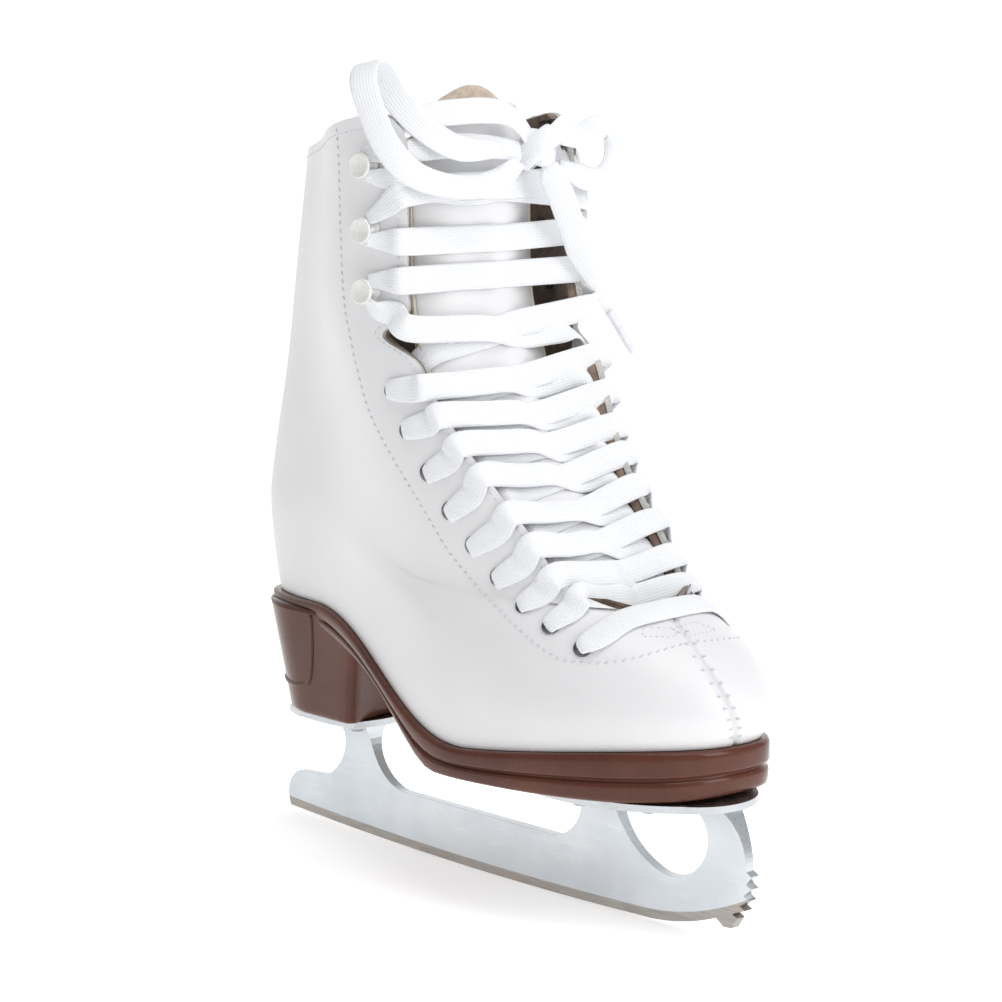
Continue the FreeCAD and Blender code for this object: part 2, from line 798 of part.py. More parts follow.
# Routes of the bow's loops and of the two free ends, from the knot outwards.
LOOP_OUTER = [
    (124, 5, 266), (127, -7, 259), (122, -23, 257), (114, -39, 262), (109, -47, 274), (107, -51, 286),
    (105, -53, 295), (103, -49, 302), (102, -42, 300), (106, -39, 289), (113, -30, 277), (120, -17, 269),
    (124, -3, 271),
]
LOOP_INNER = [
    (124, 25, 274), (121, 40, 274), (113, 57, 280), (108, 72, 276), (110, 70, 263), (118, 51, 256),
    (123, 27, 264),
]
END_FRONT = [(127, 17, 265), (128, 23, 253), (126, 31, 240), (122, 42, 224), (123, 53, 209)]
END_BACK = [(118, 22, 268), (112, 38, 268), (108, 52, 264), (104, 59, 252), (102, 61, 238), (101, 61, 226)]


def aglet(label, route):
    """The stiff tip on a free end, in line with its last run."""
    end, before = Vector(*route[-1]), Vector(*route[-2])
    along = (end - before).normalize()
    obj = doc.addObject("Part::Cylinder", label)
    obj.setExpression("Radius", "sizes.aglet_radius")
    obj.setExpression("Height", "sizes.aglet_length")
    keep(obj, label)
    turn = FreeCAD.Rotation(Vector(0, 0, 1), along)
    obj.Placement = FreeCAD.Placement(ORIGIN + end, turn)


def make_bow():
    cord("lace_loop_outer", LOOP_OUTER)
    cord("lace_loop_inner", LOOP_INNER)
    cord("lace_end_front", END_FRONT)
    cord("lace_end_back", END_BACK)
    aglet("aglet_front", END_FRONT)
    aglet("aglet_back", END_BACK)
    stretch = FreeCAD.Matrix()
    stretch.scale(6.5, 9.5, 6.0)
    stretch.move(KNOT_CENTRE)
    feature("lace_knot", Part.makeSphere(1.0).transformGeometry(stretch))


make_blade()
make_plates()
make_sole()
make_upper()
make_tongue()
make_facing_hardware()
make_laced_part()
make_bow()
doc.recompute()

os.makedirs("parts", exist_ok=True)
for obj in doc.Objects:
    if "Invalid" in obj.State or "Error" in obj.State:
        raise RuntimeError("%s failed: %s" % (obj.Label, obj.State))
for obj in SUBPARTS:
    shape = obj.Shape
    if shape.isNull() or not shape.isValid() or not shape.Solids:
        raise RuntimeError("%s has no sound solid" % obj.Label)
    if min(solid.Volume for solid in shape.Solids) <= 0:
        raise RuntimeError("%s is inside out" % obj.Label)
    print("%-24s %2d solids %10.0f mm3" % (obj.Label, len(shape.Solids), shape.Volume))
for obj in SUBPARTS:
    obj.Shape.exportStep(os.path.join("parts", obj.Label + ".step"))
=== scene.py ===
"""Looks of a right-foot figure skate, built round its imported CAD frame.

Shapes are worked out in millimetres, at stations written from the back of the heel towards the
toe, like the CAD part's own; to_frame() turns them into metres in the skate's frame.
"""
import math

import bmesh
import bpy
import numpy as np
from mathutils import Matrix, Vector


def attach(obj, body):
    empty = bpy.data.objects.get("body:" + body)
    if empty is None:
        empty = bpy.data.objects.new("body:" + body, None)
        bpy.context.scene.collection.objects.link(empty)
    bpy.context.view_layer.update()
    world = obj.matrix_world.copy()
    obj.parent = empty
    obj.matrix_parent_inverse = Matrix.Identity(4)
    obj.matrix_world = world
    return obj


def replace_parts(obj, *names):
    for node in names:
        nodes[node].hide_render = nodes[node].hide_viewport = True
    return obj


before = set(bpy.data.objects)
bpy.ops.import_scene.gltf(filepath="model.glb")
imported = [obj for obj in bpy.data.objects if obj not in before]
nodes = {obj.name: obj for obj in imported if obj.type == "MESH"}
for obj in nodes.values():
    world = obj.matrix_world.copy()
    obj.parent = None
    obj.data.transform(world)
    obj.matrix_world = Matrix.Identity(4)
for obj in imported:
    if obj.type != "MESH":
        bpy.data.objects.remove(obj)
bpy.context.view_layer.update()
scene = bpy.context.scene

MM = 0.001
ORIGIN_STATION = 120.0
OUTER, INNER = -1, 1
SIDE_NAMES = {OUTER: "lateral", INNER: "medial"}


def to_frame(points):
    """Millimetres at stations as metres in the skate's frame."""
    return (np.asarray(points, float) - np.array([ORIGIN_STATION, 0.0, 0.0])) * MM


# --- Camera ---
AZIMUTH, ELEVATION, DISTANCE = math.radians(47.0), math.radians(8.6), 1.019
TARGET = Vector((0.0, 0.0, 0.142))


def make_camera():
    data = bpy.data.cameras.new("camera")
    data.sensor_width = 36.0
    data.lens = 99.4
    camera = bpy.data.objects.new("camera", data)
    scene.collection.objects.link(camera)
    level = DISTANCE * math.cos(ELEVATION)
    offset = (level * math.sin(AZIMUTH), -level * math.cos(AZIMUTH), DISTANCE * math.sin(ELEVATION))
    camera.location = TARGET + Vector(offset)
    camera.rotation_euler = (TARGET - camera.location).to_track_quat("-Z", "Y").to_euler()
    scene.camera = camera


make_camera()


# --- Materials ---
class Nodes:
    """A material's node tree, with short calls for the nodes used here."""

    def __init__(self, name):
        self.material = bpy.data.materials.new(name)
        self.material.use_nodes = True
        self.tree = self.material.node_tree
        self.shader = self.tree.nodes["Principled BSDF"]
        self.coordinates = self.tree.nodes.new("ShaderNodeTexCoord")

    def add(self, kind, **values):
        node = self.tree.nodes.new(kind)
        for name, value in values.items():
            setattr(node, name, value)
        return node

    def link(self, source, target):
        self.tree.links.new(source, target)

    def noise(self, scale, detail=3.0, stretch=None):
        node = self.add("ShaderNodeTexNoise")
        node.inputs["Scale"].default_value = scale
        node.inputs["Detail"].default_value = detail
        place = self.coordinates.outputs["Object"]
        if stretch is not None:
            mapping = self.add("ShaderNodeMapping")
            mapping.inputs["Scale"].default_value = stretch
            self.link(place, mapping.inputs["Vector"])
            place = mapping.outputs["Vector"]
        self.link(place, node.inputs["Vector"])
        return node.outputs["Fac"]

    def cells(self, scale):
        node = self.add("ShaderNodeTexVoronoi")
        node.inputs["Scale"].default_value = scale
        self.link(self.coordinates.outputs["Object"], node.inputs["Vector"])
        return node.outputs["Distance"]

    def feed(self, value, socket):
        """Sets a socket from a number, a colour or another node's output."""
        if isinstance(value, (int, float)):
            socket.default_value = value
        elif isinstance(value, tuple):
            socket.default_value = (*value, 1.0)
        else:
            self.link(value, socket)

    def maths(self, operation, first, second):
        node = self.add("ShaderNodeMath", operation=operation)
        for socket, value in zip(node.inputs, (first, second)):
            self.feed(value, socket)
        return node.outputs["Value"]

    def span(self, value, low, high, to_low=0.0, to_high=1.0):
        node = self.add("ShaderNodeMapRange")
        self.link(value, node.inputs["Value"])
        limits = {"From Min": low, "From Max": high, "To Min": to_low, "To Max": to_high}
        for name, number in limits.items():
            node.inputs[name].default_value = number
        return node.outputs["Result"]

    def mixed(self, factor, first, second):
        """A colour between two: each is a colour or another node's output."""
        node = self.add("ShaderNodeMix", data_type="RGBA")
        self.link(factor, node.inputs["Factor"])
        for name, value in (("A", first), ("B", second)):
            self.feed(value, [s for s in node.inputs if s.name == name and s.type == "RGBA"][0])
        return [s for s in node.outputs if s.type == "RGBA"][0]

    def bump(self, height, strength, distance, under=None):
        node = self.add("ShaderNodeBump")
        node.inputs["Strength"].default_value = strength
        node.inputs["Distance"].default_value = distance
        self.link(height, node.inputs["Height"])
        if under is not None:
            self.link(under, node.inputs["Normal"])
        return node.outputs["Normal"]

    def finish(self, colour=None, roughness=None, normal=None, **constants):
        for name, value in (("Base Color", colour), ("Roughness", roughness), ("Normal", normal)):
            if value is not None:
                self.feed(value, self.shader.inputs[name])
        for name, value in constants.items():
            self.shader.inputs[name.replace("_", " ")].default_value = value
        return self.material


def leather_material():
    """White box calf: fine pores, faint creases, a soft polish and slightly uneven shade."""
    n = Nodes("white_leather")
    shade = n.noise(14.0, 4.0)
    pores = n.cells(1150.0)
    creases = n.noise(260.0, 5.0)
    colour = n.mixed(n.span(shade, 0.35, 0.7), (0.80, 0.80, 0.815), (0.86, 0.86, 0.868))
    rough = n.span(n.noise(55.0, 3.0), 0.3, 0.7, 0.36, 0.5)
    fine = n.bump(pores, 0.10, 0.0002)
    normal = n.bump(creases, 0.10, 0.0004, fine)
    return n.finish(colour, rough, normal, Coat_Weight=0.12, Coat_Roughness=0.3)


def flecked_material(name, dark, light, scale, detail, rough, bump, low=0.3, **constants):
    """One fine noise drives the colour, the relief and, where rough is a pair, the polish."""
    n = Nodes(name)
    fleck = n.noise(scale, detail)
    colour = n.mixed(n.span(fleck, low, 0.7), dark, light)
    if isinstance(rough, tuple):
        rough = n.span(fleck, 0.3, 0.7, *rough)
    return n.finish(colour, rough, n.bump(fleck, *bump), **constants)


def suede_material(name, dark, light):
    """Brushed microfibre: short nap in streaks."""
    n = Nodes(name)
    nap = n.noise(420.0, 6.0)
    patches = n.noise(45.0, 3.0)
    base = n.mixed(n.span(patches, 0.3, 0.7), dark, light)
    colour = n.mixed(n.span(nap, 0.35, 0.65, 0.0, 0.6), base, tuple(0.6 * c for c in dark))
    return n.finish(colour, 0.93, n.bump(nap, 0.6, 0.0006), Sheen_Weight=0.35, Sheen_Roughness=0.5)


def sole_material():
    """Glossy dark-brown moulded sole, varnished, with a few dull patches."""
    n = Nodes("brown_sole")
    patches = n.noise(30.0, 4.0)
    grain = n.noise(900.0, 3.0)
    colour = n.mixed(n.span(patches, 0.35, 0.65), (0.084, 0.0245, 0.0135), (0.116, 0.037, 0.021))
    rough = n.span(n.noise(70.0, 4.0), 0.3, 0.7, 0.16, 0.34)
    return n.finish(
        colour, rough, n.bump(grain, 0.06, 0.0002), Specular_IOR_Level=0.2, Coat_Weight=0.3,
        Coat_Roughness=0.08,
    )


def steel_material(name, colour, rough, streak, brushed=(900.0, 900.0, 25.0)):
    n = Nodes(name)
    lines = n.noise(1.0, 4.0, stretch=brushed)
    smears = n.noise(38.0, 4.0)
    tint = n.mixed(n.span(smears, 0.35, 0.65), colour, tuple(0.88 * c for c in colour))
    roughness = n.span(lines, 0.3, 0.7, rough - 0.05, rough + 0.09)
    return n.finish(tint, roughness, n.bump(lines, streak, 0.0001), Metallic=1.0)


def blade_material():
    """Satin nickel plate with a browner band ground bare along the running edge."""
    n = Nodes("blade_steel")
    split = n.add("ShaderNodeSeparateXYZ")
    n.link(n.coordinates.outputs["Object"], split.inputs["Vector"])
    along, up = split.outputs["X"], split.outputs["Z"]
    rocker = n.maths("MULTIPLY", n.maths("MULTIPLY", along, along), 1 / 4.2)
    ahead = n.maths("MAXIMUM", n.maths("SUBTRACT", along, 0.076), 0.0)
    front = n.maths("MULTIPLY", n.maths("MULTIPLY", ahead, ahead), 4.5)
    height = n.maths("SUBTRACT", up, n.maths("ADD", rocker, front))
    ground = n.span(height, 0.0036, 0.0032)
    grinding = n.noise(1.0, 5.0, stretch=(90.0, 500.0, 2600.0))
    smears = n.noise(30.0, 4.0)
    satin = n.mixed(n.span(smears, 0.35, 0.65), (0.70, 0.73, 0.755), (0.60, 0.635, 0.665))
    bare = n.mixed(n.span(grinding, 0.3, 0.7), (0.30, 0.27, 0.25), (0.47, 0.435, 0.405))
    colour = n.mixed(ground, satin, bare)
    scratches = n.noise(1.0, 4.0, stretch=(40.0, 900.0, 900.0))
    rough = n.span(scratches, 0.3, 0.7, 0.26, 0.38)
    return n.finish(colour, rough, n.bump(scratches, 0.05, 0.0001), Metallic=0.93)


def lace_material():
    """Tubular cotton lace: a fine herringbone on the ribbon's own length and width (UV in mm)."""
    n = Nodes("white_lace")
    split = n.add("ShaderNodeSeparateXYZ")
    n.link(n.coordinates.outputs["UV"], split.inputs["Vector"])
    along, across = split.outputs["X"], split.outputs["Y"]
    fold = n.maths("PINGPONG", across, 0.55)
    slant = n.maths("ADD", along, fold)
    ribs = n.maths("SINE", n.maths("MULTIPLY", slant, 2 * math.pi / 0.85), 0.0)
    rows = n.maths("SINE", n.maths("MULTIPLY", across, 2 * math.pi / 1.1), 0.0)
    weave = n.maths("ADD", n.maths("MULTIPLY", ribs, 0.5), n.maths("MULTIPLY", rows, 0.5))
    fluff = n.noise(700.0, 4.0)
    colour = n.mixed(n.span(weave, -1.0, 1.0), (0.87, 0.885, 0.92), (0.93, 0.94, 0.96))
    normal = n.bump(weave, 0.5, 0.00022, n.bump(fluff, 0.25, 0.0003))
    return n.finish(colour, 0.85, normal, Sheen_Weight=0.25, Sheen_Roughness=0.4)


LEATHER = leather_material()
# The folded and painted edges of the leather, and the cream piping.
RAW_EDGE = flecked_material(
    "raw_edge", (0.42, 0.41, 0.38), (0.62, 0.61, 0.575), 900.0, 5.0, 0.75, (0.5, 0.0004)
)
CREAM = flecked_material(
    "cream_binding", (0.72, 0.66, 0.54), (0.83, 0.78, 0.66), 600.0, 4.0, 0.6, (0.3, 0.0003)
)
LINING = suede_material("brown_lining", (0.170, 0.112, 0.080), (0.300, 0.215, 0.160))
TAN = suede_material("tan_lining", (0.58, 0.47, 0.375), (0.74, 0.64, 0.54))
SOLE = sole_material()
BLADE = blade_material()
PLATE = steel_material("plate_steel", (0.60, 0.62, 0.64), 0.30, 0.08, (60.0, 900.0, 900.0))
SCREW = steel_material("screw_steel", (0.55, 0.56, 0.58), 0.24, 0.05, (400.0, 400.0, 400.0))
SPRING = steel_material("spring_steel", (0.42, 0.43, 0.46), 0.4, 0.1)
LACE = lace_material()
ENAMEL = flecked_material(
    "white_enamel", (0.78, 0.79, 0.76), (0.86, 0.865, 0.84), 300.0, 3.0, (0.2, 0.32), (0.08, 0.0002),
    Coat_Weight=0.5,
)
GUNMETAL = flecked_material(
    "gunmetal", (0.11, 0.11, 0.12), (0.30, 0.30, 0.31), 500.0, 4.0, (0.28, 0.45), (0.1, 0.0002),
    low=0.4, Metallic=0.9,
)
# Thread coloured grey as painted shade: the grey stands in for the shadow in the needle holes around
# white thread.
THREAD_WITH_PAINTED_SHADE = flecked_material(
    "thread_with_painted_shade", (0.60, 0.61, 0.65), (0.74, 0.75, 0.79), 1400.0, 3.0, 0.7, (0.5, 0.0002)
)
# Clear heat-shrunk sleeve of the lace tips, over the white lace.
TIP = flecked_material(
    "clear_tip", (0.70, 0.72, 0.76), (0.84, 0.85, 0.88), 500.0, 3.0, 0.22, (0.1, 0.0002),
    Coat_Weight=0.8, Coat_Roughness=0.08,
)
# Parts that are hidden inside the boot.
FIBRES = (0.5, 0.0005)
BOARD = flecked_material(
    "fibre_board", (0.36, 0.25, 0.16), (0.52, 0.39, 0.26), 700.0, 6.0, 0.85, FIBRES
)
FOOTBED = flecked_material(
    "footbed_felt", (0.075, 0.045, 0.034), (0.14, 0.09, 0.068), 500.0, 6.0, 0.95, FIBRES
)
STIFFENER = flecked_material(
    "stiffener", (0.45, 0.37, 0.27), (0.6, 0.5, 0.38), 800.0, 6.0, 0.8, FIBRES
)


# --- Mesh helpers ---
def grid_faces(rows, columns, wrap=False, start=0, flip=False):
    """Quads over a grid of points stored row by row; wrap joins the last column to the first."""
    faces = []
    for r in range(rows - 1):
        for c in range(columns if wrap else columns - 1):
            d = (c + 1) % columns
            quad = [start + r * columns + c, start + r * columns + d]
            quad += [start + (r + 1) * columns + d, start + (r + 1) * columns + c]
            faces.append(quad[::-1] if flip else quad)
    return faces


def closed_tube_faces(rings, section, start=0):
    """Quads along a tube stored ring by ring, with a face over each end."""
    last = start + (rings - 1) * section
    ends = [list(range(start, start + section))[::-1], list(range(last, last + section))]
    return grid_faces(rings, section, wrap=True, start=start) + ends


def lengths_along(points):
    """The length of a line up to each of its points."""
    steps = np.linalg.norm(np.diff(points, axis=0), axis=1)
    return np.concatenate([[0], np.cumsum(steps)])


def make_piece(name, points, faces, materials):
    """A mesh piece riding on the skate; points are millimetres at stations."""
    mesh = bpy.data.meshes.new(name)
    mesh.from_pydata([tuple(p) for p in to_frame(points)], [], faces)
    for one in materials:
        mesh.materials.append(one)
    mesh.polygons.foreach_set("use_smooth", [True] * len(mesh.polygons))
    mesh.update()
    piece = bpy.data.objects.new(name, mesh)
    scene.collection.objects.link(piece)
    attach(piece, "root")
    return piece


def tidy_normals(piece):
    """Every closed shell of a piece faces outwards."""
    work = bmesh.new()
    work.from_mesh(piece.data)
    bmesh.ops.recalc_face_normals(work, faces=work.faces)
    work.to_mesh(piece.data)
    work.free()


def solidified(piece, thickness, bevel):
    """A sheet thickened inwards, with its second material on the softened rim."""
    change = piece.modifiers.new("thickness", "SOLIDIFY")
    change.thickness = thickness * MM
    change.offset = -1.0
    change.material_offset_rim = 1
    soften(piece, bevel)


def soften(piece, width, segments=2, angle=40.0):
    change = piece.modifiers.new("soft_edges", "BEVEL")
    change.width = width * MM
    change.segments = segments
    change.limit_method = "ANGLE"
    change.angle_limit = math.radians(angle)
    change.harden_normals = False


def unit(vectors):
    vectors = np.asarray(vectors, float)
    return vectors / np.maximum(np.linalg.norm(vectors, axis=-1, keepdims=True), 1e-9)


def cubic(values):
    """A natural cubic spline through equally spaced values, as a function of their number."""
    values = np.asarray(values, float)
    count = len(values)
    matrix = np.eye(count)
    right = np.zeros_like(values)
    for k in range(1, count - 1):
        matrix[k, k - 1:k + 2] = (1, 4, 1)
        right[k] = 6 * (values[k + 1] - 2 * values[k] + values[k - 1])
    bend = np.linalg.solve(matrix, right)

    def at(where):
        where = np.clip(np.asarray(where, float), 0, count - 1)
        k = np.minimum(where.astype(int), count - 2)
        t = where - k
        if values.ndim > 1:
            t = t[..., None]
        a, b = values[k], values[k + 1]
        ma, mb = bend[k], bend[k + 1]
        return (
            a * (1 - t) + b * t
            + ((1 - t) ** 3 - (1 - t)) * ma / 6 + (t ** 3 - t) * mb / 6
        )

    return at


def smooth(t):
    t = np.clip(t, 0.0, 1.0)
    return t * t * (3 - 2 * t)


# --- The boot's form, from the same rows as the CAD part ---
# back, back_z, front, front_z, half widths (outer heel and ball, inner heel and ball), exponents
# at the back and front, lean of the front end, facing gaps (outer, inner), reach of the inner
# facing, how closely the row follows the arched sole, and the toe seam's angle.
ROWS = np.array([
    (0, 96, 233, 69, 25, 47, 24, 36, 3.0, 2.5, 10, 0, 0, 0, 1.0, 0.06),
    (-3, 108, 238, 80, 25, 48, 25, 37, 3.0, 2.5, 10, 0, 0, 0, 0.8, 0.15),
    (-5, 121, 232, 93, 25, 47, 25, 37, 3.0, 2.5, 10, 0, 0, 0, 0.6, 0.20),
    (-6, 134, 216, 105, 25, 45, 25, 37, 2.9, 2.5, 9, 0, 0, 0, 0.4, 0.15),
    (-5, 147, 197, 115, 24, 42, 25, 39, 2.7, 2.8, 7, 24, 20, 0, 0.3, 0),
    (-2, 163, 184, 132, 23, 42, 25, 41, 2.6, 3.0, 4, 31, 25, 0, 0.2, 0),
    (2, 184, 164, 156, 22, 43, 25, 43, 2.4, 3.0, 3, 35, 30, 0, 0.0, 0),
    (6, 207, 140, 188, 21, 44, 26, 46, 2.3, 3.0, 1, 38, 37, 12, 0.0, 0),
    (10, 228, 128, 217, 21, 45, 27, 49, 2.3, 3.0, 0, 38, 43, 12, 0.0, 0),
    (14, 248, 127, 252, 21, 45, 28, 50, 2.3, 3.0, 0, 38, 44, 8, 0.0, 0),
    (18, 268, 125, 289, 22, 45, 29, 51, 2.2, 3.0, 0, 38, 46, 4, 0.0, 0),
])
row_values = cubic(ROWS)
TOP_ROW = len(ROWS) - 1
THROAT_ROW = 3.8
HEEL_SEAT, TOE_SEAT, LAST_LENGTH = 96.0, 69.0, 233.0


def arch_drop(t):
    return 1.3 * smooth((t - 0.17) / 0.48) - 0.3 * smooth((t - 0.55) / 0.45)


def seat_height(x):
    """Height of the feather line, where the upper meets the sole."""
    return HEEL_SEAT - (HEEL_SEAT - TOE_SEAT) * arch_drop(np.asarray(x, float) / LAST_LENGTH)


def form(row, angles, side):
    """Points of one row; angle pi is the back, 0 the front end, less goes on round it."""
    angles = np.asarray(angles, float)
    values = row_values(row)
    back, back_z, front, front_z = values[:4]
    square_back, square_front, ridge = values[8:11]
    reach, arch = values[13:15]
    here = np.where(angles >= 0, side, -side)
    inner = here > 0
    heel = np.where(inner, values[6], values[4])
    ball = np.where(inner, values[7], values[5])
    front = front + np.where(inner, reach, 0.0)
    cosine, sine = np.cos(angles), np.abs(np.sin(angles))
    square = square_back + (square_front - square_back) * (1 + cosine) / 2
    half_length = (front - back) / 2
    x = (back + front) / 2 + half_length * np.sign(cosine) * np.abs(cosine) ** (2 / square)
    t = (x - back) / (values[2] - back)
    half_width = heel + (ball - heel) * smooth((t - 0.15) / 0.5)
    y = here * half_width * sine ** (2 / square) + ridge * np.maximum(0, 2 * t - 1) ** 2
    z = back_z + (front_z - back_z) * ((1 - arch) * t + arch * arch_drop(t))
    return np.stack([x, y, z], -1)


def front_angle(row, side):
    """The angle where a quarter ends: at the toe seam, or at the edge of its facing."""
    values = row_values(row)
    gap, ball = (values[12], values[7]) if side == INNER else (values[11], values[5])
    if row < THROAT_ROW or gap <= 0:
        return -side * values[15]
    return math.asin(min(1.0, gap / ball) ** (values[9] / 2))


def outward(row, angle, side):
    """Unit normal of the form, away from the foot."""
    step = 0.02
    low, high = max(row - step, 0), min(row + step, TOP_ROW)
    up = form(high, [angle], side)[0] - form(low, [angle], side)[0]
    a, b = form(row, [angle - step, angle + step], side)
    normal = unit(np.cross(b - a, up))
    point = form(row, [angle], side)[0]
    middle = np.array([min(max(point[0], 40.0), 190.0) * 0.9 + 5, 4.0, point[2] - 8])
    return normal if normal @ (point - middle) > 0 else -normal


def spot(row, angle, side, lift=0.0):
    """A point of the form, lifted off it, and the normal there."""
    normal = outward(row, angle, side)
    return form(row, [angle], side)[0] + normal * lift, normal


def notch(row, side):
    """How far the facing's edge is cut back for the ankle to flex, in mm."""
    z = row - 7.42
    reach = smooth(1 - abs(z) / (0.50 if z > 0 else 0.38))
    return 13.0 * float(reach) ** (1.5 if z > 0 else 1.9)


def corner(row):
    """How far the facing's top corner is rounded off, in mm."""
    reach = 0.42
    t = max(0.0, (row - (TOP_ROW - reach)) / reach)
    return 15.0 * (1 - math.sqrt(max(0.0, 1 - t * t)))


def row_line(row, side, inset=0.0, samples=400):
    """A row's points by length, from the back seam to its end less an inset."""
    angles = np.linspace(math.pi, front_angle(row, side), samples)
    length = lengths_along(form(row, angles, side))
    return angles, length, length[-1] - inset


def inset_angle(row, side, inset):
    """The angle that lies an inset in mm behind the end of a row."""
    angles, length, end = row_line(row, side, inset)
    return float(np.interp(end, length, angles))


SEAM_STEPS = np.array([4.0, 3.0, 2.2, 1.5, 1.0, 0.6, 0.3, 0.0])


def quarter_grid(side, rows, columns, depth=0.0, trim=0.0, groove=0.0):
    """Points and normals over one side; depth sinks them, trim shortens the facing's edge."""
    grid = []
    for row in rows:
        inset = (trim + notch(row, side) + corner(row)) if row > THROAT_ROW else 0.0
        angles, length, end = row_line(row, side, inset)
        places = np.concatenate([np.linspace(0.15, end - 5.0, columns), end - SEAM_STEPS])
        here = np.interp(places, length, angles)
        points = form(row, here, side)
        if row <= THROAT_ROW and groove:
            dip = groove * np.exp(-((end - places) / 1.1) ** 2)
            middle = np.array([150.0, 4.0, 60.0])
            points -= unit(points - middle) * dip[:, None]
        grid.append(points)
    grid = np.array(grid)
    normals = grid_normals(grid, side)
    return grid - normals * depth, normals


def grid_normals(grid, side):
    along = np.gradient(grid, axis=1)
    up = np.gradient(grid, axis=0)
    normals = unit(np.cross(along, up))
    middle = np.stack([
        np.clip(grid[..., 0], 40, 190) * 0.9 + 5, np.full(grid.shape[:2], 4.0), grid[..., 2] - 8,
    ], -1)
    facing = np.sign(np.sum(normals * (grid - middle), -1))
    return normals * np.sign(np.median(facing))


def boot_rows(low=0.0, high=TOP_ROW):
    """Rows for a side's grid, closer together at the notch and the rounded top corner."""
    plain = np.linspace(low, high, 84)
    notched = np.linspace(6.8, 8.1, 40)
    cornered = high - np.array([0.42, 0.3, 0.2, 0.12, 0.07, 0.035, 0.012])
    return np.array(sorted(set(np.round(np.concatenate([plain, notched, cornered]), 4))))


def sheet_piece(name, grid, normals, materials):
    """A piece from a grid of points, its faces turned the way its normals point."""
    rows, columns = grid.shape[:2]
    points, outwards = grid.reshape(-1, 3), normals.reshape(-1, 3)
    faces = grid_faces(rows, columns)
    sample = faces[len(faces) // 2]
    a, b, c = (points[k] for k in sample[:3])
    if np.cross(b - a, c - b) @ outwards[sample[0]] < 0:
        faces = grid_faces(rows, columns, flip=True)
    return make_piece(name, points, faces, materials)


LEATHER_THICKNESS, LINING_THICKNESS, TONGUE_THICKNESS = 2.3, 2.9, 1.6
LINING_DEPTH = 2.6


def make_quarters():
    """Each side's leather, and its lining with the padding that fills it out."""
    for side, label in SIDE_NAMES.items():
        grid, normals = quarter_grid(side, boot_rows(), 96, groove=1.2)
        leather = sheet_piece("leather_" + label, grid, normals, [LEATHER, RAW_EDGE])
        solidified(leather, LEATHER_THICKNESS, bevel=0.6)
        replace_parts(leather, "upper_quarter_" + label)
        grid, normals = quarter_grid(side, boot_rows(0.12, 9.96), 80, depth=LINING_DEPTH, trim=0.8)
        lining = sheet_piece("inside_" + label, grid, normals, [LINING, LINING])
        solidified(lining, LINING_THICKNESS, bevel=0.9)
        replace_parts(lining, "lining_" + label, "ankle_padding_" + label)


# --- Stitching ---
def along_path(points, extras, step):
    """Equally spaced places along a line, with other values carried along it."""
    points = np.asarray(points, float)
    length = lengths_along(points)
    count = max(2, int(round(length[-1] / step)))
    where = (np.arange(count) + 0.5) * length[-1] / count
    line = np.stack([np.interp(where, length, points[:, k]) for k in range(3)], -1)
    carried = np.stack([np.interp(where, length, np.asarray(extras)[:, k]) for k in range(3)], -1)
    return line, unit(carried)


class Stitches:
    """Short raised threads collected into one piece."""
    SECTION, RINGS = 6, 5

    def __init__(self):
        self.points, self.faces = [], []

    def add(self, start, end, normal, radius=0.34, rise=0.3):
        start, end, normal = (np.asarray(v, float) for v in (start, end, normal))
        along = unit(end - start)
        across = unit(np.cross(normal, along))
        first = len(self.points)
        for k in range(self.RINGS):
            t = k / (self.RINGS - 1)
            hump = math.sin(math.pi * t)
            centre = start + (end - start) * t + normal * (rise * hump - 0.15)
            size = radius * (0.45 + 0.55 * hump)
            for j in range(self.SECTION):
                turn = 2 * math.pi * j / self.SECTION
                self.points.append(
                    centre + across * size * math.cos(turn) + normal * size * math.sin(turn)
                )
        self.faces += closed_tube_faces(self.RINGS, self.SECTION, first)

    def run(self, spots, length, gap, slant=0.0, radius=0.34, rise=0.3):
        """A row of stitches along spots of the form; slant turns each one across the row."""
        line, normals = along_path(*zip(*spots), length + gap)
        tangents = unit(np.gradient(line, axis=0))
        for place, normal, tangent in zip(line, normals, tangents):
            across = np.cross(normal, tangent)
            half = unit(tangent + across * slant) * length / 2
            self.add(place - half, place + half, normal, radius, rise)

    def piece(self, name):
        tidy_normals(make_piece(name, self.points, self.faces, [THREAD_WITH_PAINTED_SHADE]))


# The ornamental stitch line, as row and angle from the collar down to the toe seam.
STITCH_LINE = [
    (9.95, 1.485), (9.48, 1.465), (8.98, 1.454), (8.35, 1.425), (7.72, 1.418), (7.26, 1.421),
    (6.72, 1.441), (6.31, 1.449), (5.90, 1.414), (5.48, 1.360), (5.07, 1.310), (4.58, 1.254),
    (4.10, 1.179), (3.47, 1.111), (2.88, 1.056), (2.43, 0.983), (2.30, 0.900), (2.31, 0.787),
    (2.42, 0.638), (2.60, 0.476), (2.78, 0.300), (2.86, 0.16),
]
THROAT_BOX = [(3.33, 0.352), (3.27, 0.155), (3.03, 0.212), (3.05, 0.429)]


FINE_THREAD = {"radius": 0.24, "rise": 0.18}


def surface_run(places, side, count=260):
    """Spots just above the form along a smooth line through rows and angles."""
    curve = cubic(places)
    line = [curve(t) for t in np.linspace(0, len(places) - 1, count)]
    return [spot(row, angle, side, 0.05) for row, angle in line]


def make_stitching():
    thread = Stitches()
    for side in (OUTER, INNER):
        turn = -0.1 if side == INNER else 0.0
        places = [(row, angle + turn * smooth((row - 3) / 3)) for row, angle in STITCH_LINE]
        if side == INNER:
            places[-3:] = [(2.70, 0.30), (2.82, 0.05), (2.88, -0.13)]
        thread.run(surface_run(places, side), 1.9, 1.1, slant=0.35)
    for side in (OUTER, INNER):
        thread_edge_line(thread, side)
    thread_toe_seam(thread)
    thread_back_seam(thread)
    thread.piece("stitching")


